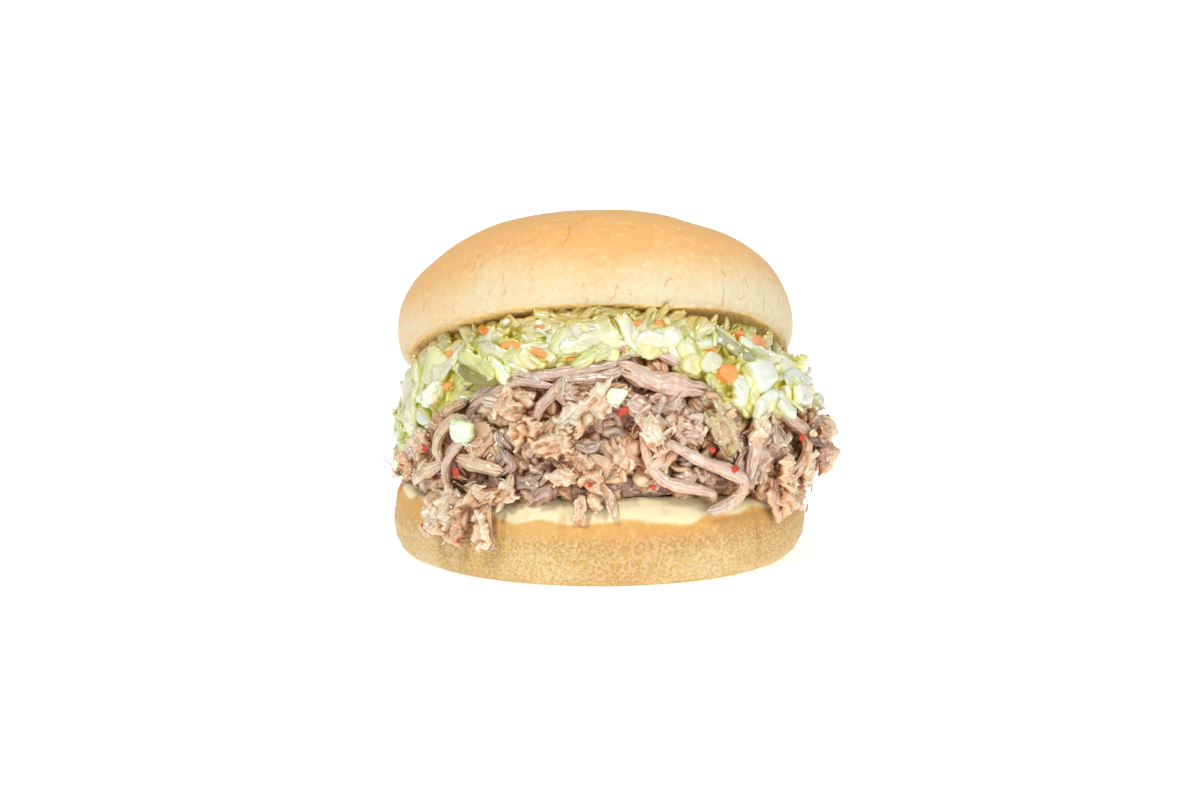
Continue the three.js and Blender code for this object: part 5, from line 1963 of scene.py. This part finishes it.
FRONT_RIBBONS = tuple(Ribbon(*row) for row in (
    (((-58, 56), (-66, 47), (-78, 39)), 7.0, CABBAGE, 1.3, 0.4),
    (((-62, 58), (-70, 50), (-73, 41), (-68, 33)), 5.5, CABBAGE, 1.3, 1.8),
    (((-68, 54), (-78, 45), (-80, 36), (-74, 28)), 5.0, LIME, 1.3, 1.4),
    (((-50, 58), (-54, 52), (-62, 47)), 6.0, CABBAGE, 1.3, 0.6),
    (((-45, 55.5), (-38, 54), (-31, 52.5)), 5.5, CABBAGE, 2.2, 0.8),
    (((-42, 55), (-36, 52.7), (-29.5, 51.7)), 3.2, RIND, 1.6, 3.9),
    (((-40, 60.5), (-32, 58.6), (-24, 57)), 4.6, CABBAGE, 1.3, 0.6),
    (((-30, 60.5), (-25, 61), (-19, 60), (-14, 58)), 2.2, CARROT, 1.3, 1.6),
    (((-24, 64.5), (-16, 65.5), (-8, 65)), 4.5, YELLOW, 1.2, 0.0),
    (((-16, 61), (-8, 60.5), (-2, 58.4)), 5.0, LIME, 1.3, 0.6),
    (((-12, 61.5), (-5, 65), (3, 64.8)), 5.4, CABBAGE, 1.3, 1.2),
    (((5, 69), (8, 64.5), (9, 60.6)), 5.4, WHITE, 1.8, 0.8),
    (((12, 66), (17, 63.5), (20, 59.5)), 5.0, YELLOW, 1.3, 0.8),
    (((22, 66), (26, 62), (30, 57.5)), 6.0, LIME, 1.3, 0.4),
    (((32, 65), (41, 59.5), (51, 53.8)), 3.0, OLIVE, 1.4, 1.0),
    (((44, 62.5), (50, 60.6), (57, 57.5)), 3.4, CARROT, 1.5, 1.0),
    (((46, 59), (58, 54), (72, 49), (80, 45)), 5.0, CABBAGE, 1.3, 0.6),
    (((60, 51), (70, 47), (82, 41)), 6.0, WHITE, 1.4, 1.2),
))

FRONT_CUBES = tuple(Lump(*row) for row in (
    ((36, 53.6), (5.4, 5, 4), CARROT, 1.2),
    ((49, 52), (10, 9, 7), WHITE, 0.8),
    ((48, 44.8), (9, 7.5, 6), WHITE, 1.6),
    ((63, 45.5), (9, 6, 6), WHITE, 1.2),
    ((26, 56.5), (7, 6, 5), YELLOW, 0.6),
    ((14, 62.5), (7, 6, 5), WHITE, 0.6),
    ((0, 60.2), (6, 5, 5), LIME, 0.4),
    ((-20, 57.5), (7, 5, 5), YELLOW, 0.6),
    ((39, 51.4), (3.6, 2.2, 2.2), WHITE, 1.8),
    ((55, 43.7), (9, 6, 5), WHITE, 2.0),
    ((31, 56.6), (5.5, 8, 5), CABBAGE, 0.8),
    ((80, 41.5), (5, 5, 4), WHITE, 1.2),
))

FRONT_LEAVES = tuple(Leaf(*row) for row in (
    ((-22, 66), (13, 4.5), 8, 20, YELLOW, 0.9, -1.2),
    ((-4, 64.4), (16, 8.5), 12, -25, CABBAGE, 1.6, 1.0, None, 1.6),
    ((-11, 62), (8.5, 3.6), 70, 10, CABBAGE, 1.2, 1.6, GREEN),
    ((-4, 58.4), (9, 4), 28, 25, CABBAGE, 1.4, 1.8, GREEN),
    ((-39, 56), (9.5, 5), -32, 15, CABBAGE, 1.6, 1.6, GREEN),
    ((-36, 55.2), (11, 6), 147, 10, LIME, 1.3, 2.8, RIND, 0.5),
    ((7.5, 65), (9.5, 4.6), 105, 15, WHITE, 1.8, 1.4),
    ((19, 62.6), (8, 5.4), 20, 10, WHITE, 2.2, 1.0),
    ((14, 60.4), (5.6, 5), 40, 0, YELLOW, 2.0, 1.2),
    ((21, 66.8), (8, 4.4), 15, 20, YELLOW, 1.0, -1.0),
    ((31, 63.6), (8, 6.5), 50, 10, YELLOW, 2.2, 0.6),
    ((41, 60.3), (13.5, 3.4), -42, 25, OLIVE, 1.6, 1.0, LIME),
    ((46, 60.4), (6, 3), -30, 0, WHITE, 1.4, 1.6),
    ((74, 50.2), (14, 6.5), -30, 20, CABBAGE, 1.6, 1.2, LIME),
    ((33, 52), (4, 6), 80, 0, GREEN, 1.2, 0.2),
    ((41, 47.4), (8, 7.4), 75, 10, WHITE, 2.0, 1.4),
    ((45, 48), (6.4, 3.4), 60, -10, CABBAGE, 1.8, 2.4),
    ((-61, 56.4), (6, 3.2), 110, 20, WHITE, 1.0, 1.0, YELLOW),
    ((-72, 47.6), (11, 6), -65, 15, CABBAGE, 1.2, 1.2, YELLOW),
    ((-64, 48.7), (10, 2.2), 85, 0, CABBAGE, 1.6, 2.2, GREEN),
    ((-56, 52.8), (10.5, 6.4), 62, 20, CABBAGE, 1.4, 1.2, GREEN),
    ((-56, 46.4), (12, 4.4), 30, 15, WHITE, 1.4, 1.6),
    ((-66, 39.1), (13, 5.6), 100, 10, CABBAGE, 1.3, 1.6, LIME, 1.2),
    ((-17, 60.2), (8, 5), -20, 10, WHITE, 1.4, 1.0, LIME),
    ((-23, 57), (8.5, 5), 15, 15, CABBAGE, 1.4, 1.2, LIME),
    ((-30, 54.4), (8, 4.4), -35, 0, WHITE, 1.4, 1.2),
    ((2, 60), (7, 4.4), -15, 10, CABBAGE, 1.6, 1.2, LIME),
    ((26, 59.2), (7, 4.6), -50, 10, CABBAGE, 1.6, 1.0, GREEN),
    ((5.4, 61.4), (3.6, 1.0), -40, 0, CHILLI, 0.7, 2.2),
))

MEAT_LEAVES = tuple(Leaf(*row) for row in (
    ((-39, 38.8), (7.5, 6.5), -20, 15, MINT, 1.8, 2.6),
    ((3.6, 49.4), (5.4, 4.6), 60, 15, MINT, 1.0, 3.6, CABBAGE),
    ((-67, 33), (9, 5), 100, 10, CABBAGE, 1.2, 1.6),
    ((-78, 24.6), (5, 3), 20, 0, WHITE, 1.0, 1.4),
))


@dataclass
class Coleslaw(Filling):
    """The layer of coleslaw: a core, cut cabbage, diced stem, carrot and green slices."""

    seed: int = 23
    # Painted light and shade by how hidden a spot lies: open spots dimmed, hidden ones turned golden and
    # brighter, as if lit through the leaves.
    shade: Stops = (
        (0.0, (0.71, 0.71, 0.84)), (0.2, (0.77, 0.78, 0.78)), (0.42, (0.88, 0.89, 0.64)),
        (0.7, (0.98, 0.91, 0.40)), (1.0, (0.94, 0.78, 0.20)),
    )
    # The painted shade under the crown, golden as from light bounced off the bread.
    painted_light_and_shade: Colour = (0.80, 0.60, 0.12)
    leaf: LeafFinish = LeafFinish(
        "Slaw_Leaf", rough=0.34, depth=2.4, soak=0.38, bleed=(0.95, 1.0, 0.75), coat=1.0, vein=0.22)
    carrot: LeafFinish = LeafFinish(
        "Bright_Flesh", rough=0.36, depth=1.0, soak=0.1, bleed=(1.0, 0.7, 0.4), coat=0.4, vein=0.06,
        through=0.1, painted_gap_tint=(1.0, 0.6, 0.1))
    tones: tuple[Tone, ...] = (CABBAGE, LIME, YELLOW, WHITE, CABBAGE, WHITE, WHITE, GREEN)

    def wall(self, degrees: Any, height: Any) -> Array:
        """Radius of the slaw's outer face."""
        return self.form.slaw_wall(degrees, height)

    def core(self, stock: Stock) -> None:
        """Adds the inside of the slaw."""
        f, (degrees, share, span) = self.form, self.sweep(10, 26, 20)
        reach = lerp(around(f.slaw_reach, degrees), f.slaw_rim, share * share)
        radius = span * (reach - lerp(1.5, 2.8, ease(np.abs(degrees), 80, 110)))
        at = polar(radius, degrees, 0.0)
        drop = around(f.slaw_edge_drop, degrees) * ease(span, 0.78, 1)
        floor = f.pork_roof(radius, degrees) + 0.2
        roof = f.crown_under(at[..., 0], at[..., 1]) - f.gap - 0.5 - drop
        at[..., 2] = lerp(floor, np.maximum(roof, floor + 2), share)
        lump = self.grain.layers(at * 0.3, 2) * 0.9
        self.add_core(stock, at, lump * ease(span, 0.5, 1.0), LIME, (0.90, 0.14, 0.5))

    def strip(self, stock: Stock, one: Ribbon, tone: Colour, fine: float = 1.0) -> None:
        """Lays one bent shred on the slaw's face, with its ends tucked in.

        Args:
            stock: takes it.
            one: its path and sizes.
            tone: its colour.
            fine: how fine its mesh is.
        """
        route = smooth_route(self.on_wall(one.path, one.lift), 9)
        tuck = (1 - np.sin(np.pi * np.linspace(0, 1, 9)) ** 0.5) * 1.6
        route = route - level(route) * tuck[:, None]
        self.add(stock, Shred(route, one.width, one.thick, tone, self.draw(0, 90), int(26 * fine),
                              int(16 * fine), 0.06, 0.5, 0.16, self.draw(-1.2, 1.2), 0.55, 0.3,
                              0.05))

    def chunk(self, stock: Stock, spot: Pair, lift: float, size: Sequence[float], tone: Colour,
              seed: float, cells: tuple[int, int] = (18, 14)) -> None:
        """Builds one chunk of stem from a few leaf layers that lie on each other.

        Args:
            stock: takes it.
            spot: its angle and height.
            lift: how far off the slaw's face it lies.
            size: its length, breadth and depth.
            tone: its colour.
            seed: varies its outline.
            cells: how fine its mesh is.
        """
        turn, tilt, layers = chance(seed, 60, -0.6, 0.6), chance(seed, 61, -0.6, 0.6), 3
        for k in range(layers):
            centre = self.on_wall([spot], lift + size[2] * (k / (layers - 1) - 0.75))[0]
            shrink = lerp(1.0, 0.82, k / layers)
            self.add(stock, Chip(
                centre, (size[0] * shrink, size[1] * shrink), size[2] / layers * 1.15, tone,
                seed + 0.04 * k, tilt, turn + chance(seed + k, 62, -0.15, 0.15), 0.7, cells, 0.2,
                0.3, round=0.5, soft=0.4))

    def scatter(self, leaves: Stock, stems: Stock, bits: Stock, low: float, high: float,
                count: int, rows: Pair = (0.0, 1.0)) -> None:
        """Strews cut cabbage over a stretch of the slaw's face.

        Args:
            leaves: takes the flat bits and shreds.
            stems: takes the diced stem.
            bits: takes the carrot.
            low: the angle where the stretch starts.
            high: the angle where it ends.
            count: how many bits lie there.
            rows: the share of the slaw's height where they lie.
        """
        f, rng, draw = self.form, self.rng, self.draw
        for k in range(count):
            degrees = lerp(low, high, ((k + draw(0, 0.7)) * GOLDEN) % 1)
            floor = float(around(f.pork_top, degrees)) + 0.8
            at = polar(f.slaw_rim, degrees, 0.0)
            drop = float(around(f.slaw_edge_drop, degrees))
            roof = float(f.crown_under(at[0], at[1])) - 0.9 - drop * 0.6
            height = lerp(floor, max(roof, floor + 1), draw(*rows))
            tone = np.array(self.tones[rng.integers(len(self.tones))].value)
            tone = tuple(tone * (1 + rng.normal(0, 0.03)))
            lift, kind = draw(-3.2, 0.2), draw()
            if kind < 0.66:
                size = (draw(4, 10), draw(1.2, 2.4) if kind < 0.4 else draw(2.4, 4.8))
                edge = GREEN.value if draw() < 0.3 else None
                self.add(leaves, Chip(
                    self.on_wall([(degrees, height)], lift)[0], size, draw(0.8, 1.6), tone,
                    draw(0, 90), draw(-0.9, 0.9), draw(-1.2, 1.2), draw(1.0, 2.6), (11, 8),
                    edge=edge, torn=0.9, round=draw(0.0, 0.7), painted_edge_light=(0.94, 0.97, 0.66)))
            elif kind < 0.84:
                reach, rise = draw(4, 8), draw(-0.45, 0.45) * (roof - floor)
                path = [(degrees + s * reach, float(np.clip(height + s * rise + b, floor, roof)))
                        for s, b in ((-1, 0), (-0.3, draw(-1, 1)), (0.4, draw(-1, 1)), (1, 0))]
                one = Ribbon(path, draw(1.3, 3.0), WHITE, draw(0.8, 1.3), lift + 0.6)
                self.strip(leaves, one, tone, 0.7)
            elif kind < 0.96:
                size = draw(3.0, 6.0)
                self.chunk(stems, (degrees, height), lift, (size * 1.2, size * 0.9, size * 0.6),
                           tone, draw(0, 90), (12, 9))
            else:
                path = [(degrees - 3, height), (degrees, height + draw(-1, 1)),
                        (degrees + 3, height + draw(-2, 2))]
                one = Ribbon(path, draw(1.2, 2.2), CARROT, 1.2, 0.6)
                self.strip(bits, one, one.tone.value, 0.6)

    def build(self) -> list[Thing]:
        """Makes the slaw.

        Returns:
            The slaw's objects.
        """
        leaf, carrot = self.leaf.build(), self.carrot.build()
        leaves, stems, bits, back, on_pork, inside = (Stock() for _ in range(6))
        for one in FRONT_RIBBONS:
            stock = bits if one.tone in (CARROT, RIND) else leaves
            self.strip(stock, one, one.tone.value)
        for number, one in enumerate(FRONT_CUBES):
            stock = bits if one.tone is CARROT else stems
            self.chunk(stock, one.at, one.lift, one.size, one.tone.value, number * 5.1)
        cut = {"cells": (24, 16), "rib": 0.25, "torn": 0.6, "round": 0.5, "painted_edge_light": (0.95, 0.97, 0.72)}
        self.lay_flakes(leaves, FRONT_LEAVES, self, 0.6, 3.7, cut)
        self.lay_flakes(on_pork, MEAT_LEAVES, PulledPork(self.form), 0.6, 3.7, cut)
        self.scatter(leaves, stems, bits, -88, 92, 290)
        self.scatter(leaves, stems, bits, -66, 60, 90, (0.75, 1.08))
        self.scatter(back, back, bits, 92, 272, 260)
        self.core(inside)
        groups = {"Slaw_Core": inside, "Slaw_Cabbage": leaves, "Slaw_Stems": stems,
                  "Slaw_Bright_Bits": bits, "Slaw_Back": back}
        crowding = Crowding(groups.values())
        for stock in groups.values():
            # Painted light and shade by how hidden a spot lies, then painted shade under the crown.
            stock.shade(crowding, self.shade)
            stock.paint_roof_shade(self.form.crown_under, self.painted_light_and_shade, 9.5)
        groups["Slaw_On_Pork"] = on_pork
        made = [stock.make(name, carrot if stock is bits else leaf) for name, stock in groups.items()]
        carrier = Stock(leaves.shells + stems.shells + back.shells)
        return made + [Strewer().strew("Slaw_Crumbs", carrier, self.crumbs(), leaf, 2.4, 9)]

    def crumbs(self) -> list[Stock]:
        """Makes the small bits that are strewn over the slaw."""
        draw, made = self.draw, []
        for k in range(8):
            tone = (WHITE, CABBAGE, YELLOW, LIME)[k % 4].value
            tone = tuple(np.array(tone) * (0.8, 0.8, 0.85))
            if k < 4:
                size = draw(1.0, 2.0)
                piece = Wad(FAR_FRONT, (size * 1.4, size, size * 0.7), tone, draw(0, 9), 5, 0, 0.1, 0.1)
            else:
                piece = Chip(FAR_FRONT, (draw(2.5, 5.0), draw(0.6, 1.1)), 0.5, tone, draw(0, 90),
                             draw(-0.6, 0.6), 0, 1.4, (9, 5), 0.3, 0.6, round=0.8)
            made.append(self.loose(piece))
        return made


# --------------------------------------------------------------------------- the studio
@dataclass(frozen=True)
class Studio:
    """The pale floor, the soft lights and the camera."""

    distance: float = 750.0
    elevation: float = math.radians(8.7)
    aim_height: float = 40.0
    millimetres_per_pixel: float = 0.269
    frame_width: float = 1200.0
    sensor: float = 36.0
    far_clip: float = 200.0
    floor_size: float = 120.0
    floor_glow: float = 0.55
    surround_glow: float = 0.56

    @staticmethod
    def aimed(name: str, data: Any, place: Vector, aim: Vector) -> Thing:
        """Places a camera or light so that it faces a point.

        Args:
            name: its name.
            data: what it shows or sends out.
            place: where it is, in metres.
            aim: the point it faces, in metres.

        Returns:
            The new object.
        """
        made = placed(name, data)
        made.location = place
        made.rotation_euler = (aim - place).to_track_quat("-Z", "Y").to_euler()
        return made

    def camera(self) -> None:
        """Places the camera at the front, a little above the sandwich."""
        data = bpy.data.cameras.new("Camera")
        data.sensor_width, data.clip_end = self.sensor, self.far_clip
        data.lens = self.distance / self.millimetres_per_pixel / self.frame_width * self.sensor
        back = Vector((0.0, -math.cos(self.elevation), math.sin(self.elevation)))
        aim = Vector((0.0, 0.0, self.aim_height * MM))
        place = aim + back * self.distance * MM
        bpy.context.scene.camera = self.aimed("Camera", data, place, aim)

    def light(self, name: str, place: Triple, size: float, power: float) -> None:
        """Adds one soft square light that faces the sandwich.

        Args:
            name: the light's name.
            place: where it hangs, in metres.
            size: its side, in metres.
            power: its strength, in watts.
        """
        data = bpy.data.lights.new(name, "AREA")
        data.size, data.energy = size, power
        self.aimed(name, data, Vector(place), Vector((0, 0, 0.05)))

    def floor(self) -> None:
        """Lays the pale floor."""
        half, mesh = self.floor_size / 2, bpy.data.meshes.new("Floor")
        corners = [(-half, -half, 0), (half, -half, 0), (half, half, 0), (-half, half, 0)]
        mesh.from_pydata(corners, [], [(0, 1, 2, 3)])
        material, w, shader = Finish("Floor_Paper", rough=0.7, soak=0.0, specular=0.2).start()
        w.feed(shader, {"Base Color": (0.9, 0.9, 0.9, 1.0), "Emission Color": (1.0,) * 4,
                        "Emission Strength": self.floor_glow})
        mesh.materials.append(material)
        placed("Floor", mesh)

    def build(self) -> None:
        """Sets up the whole studio."""
        scene = bpy.context.scene
        scene.view_settings.view_transform = "Standard"
        scene.world = bpy.data.worlds.new("Studio")
        scene.world.use_nodes = True
        tree = scene.world.node_tree
        Wiring(tree).feed(tree.nodes["Background"], {"Color": (1.0,) * 4, "Strength": self.surround_glow})
        self.camera()
        self.floor()
        self.light("Key", (-0.35, -0.75, 0.85), 0.18, 6.0)
        self.light("Fill", (0.6, -0.75, 0.2), 0.4, 2.3)
        self.light("Top", (0.1, 0.15, 0.9), 0.4, 0.9)


def settle(pieces: Sequence[Thing], node: str) -> None:
    """Ties finished pieces to the part they stand for.

    Args:
        pieces: the pieces.
        node: the part's node.
    """
    for piece in pieces:
        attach(piece, "root")
        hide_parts(node)
        LOG.info("%s stands for %s", piece.name, node)


def main() -> None:
    """Builds the sandwich and its studio."""
    logging.basicConfig(level=logging.INFO, format="%(name)s: %(message)s")
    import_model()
    Studio().build()
    settle([HeelBun().build()], "heel_bun")
    settle(PulledPork().build(), "pulled_pork")
    settle(Coleslaw().build(), "coleslaw")
    settle([CrownBun().build()], "crown_bun")
    bpy.context.view_layer.update()


if __name__ == "__main__":
    main()
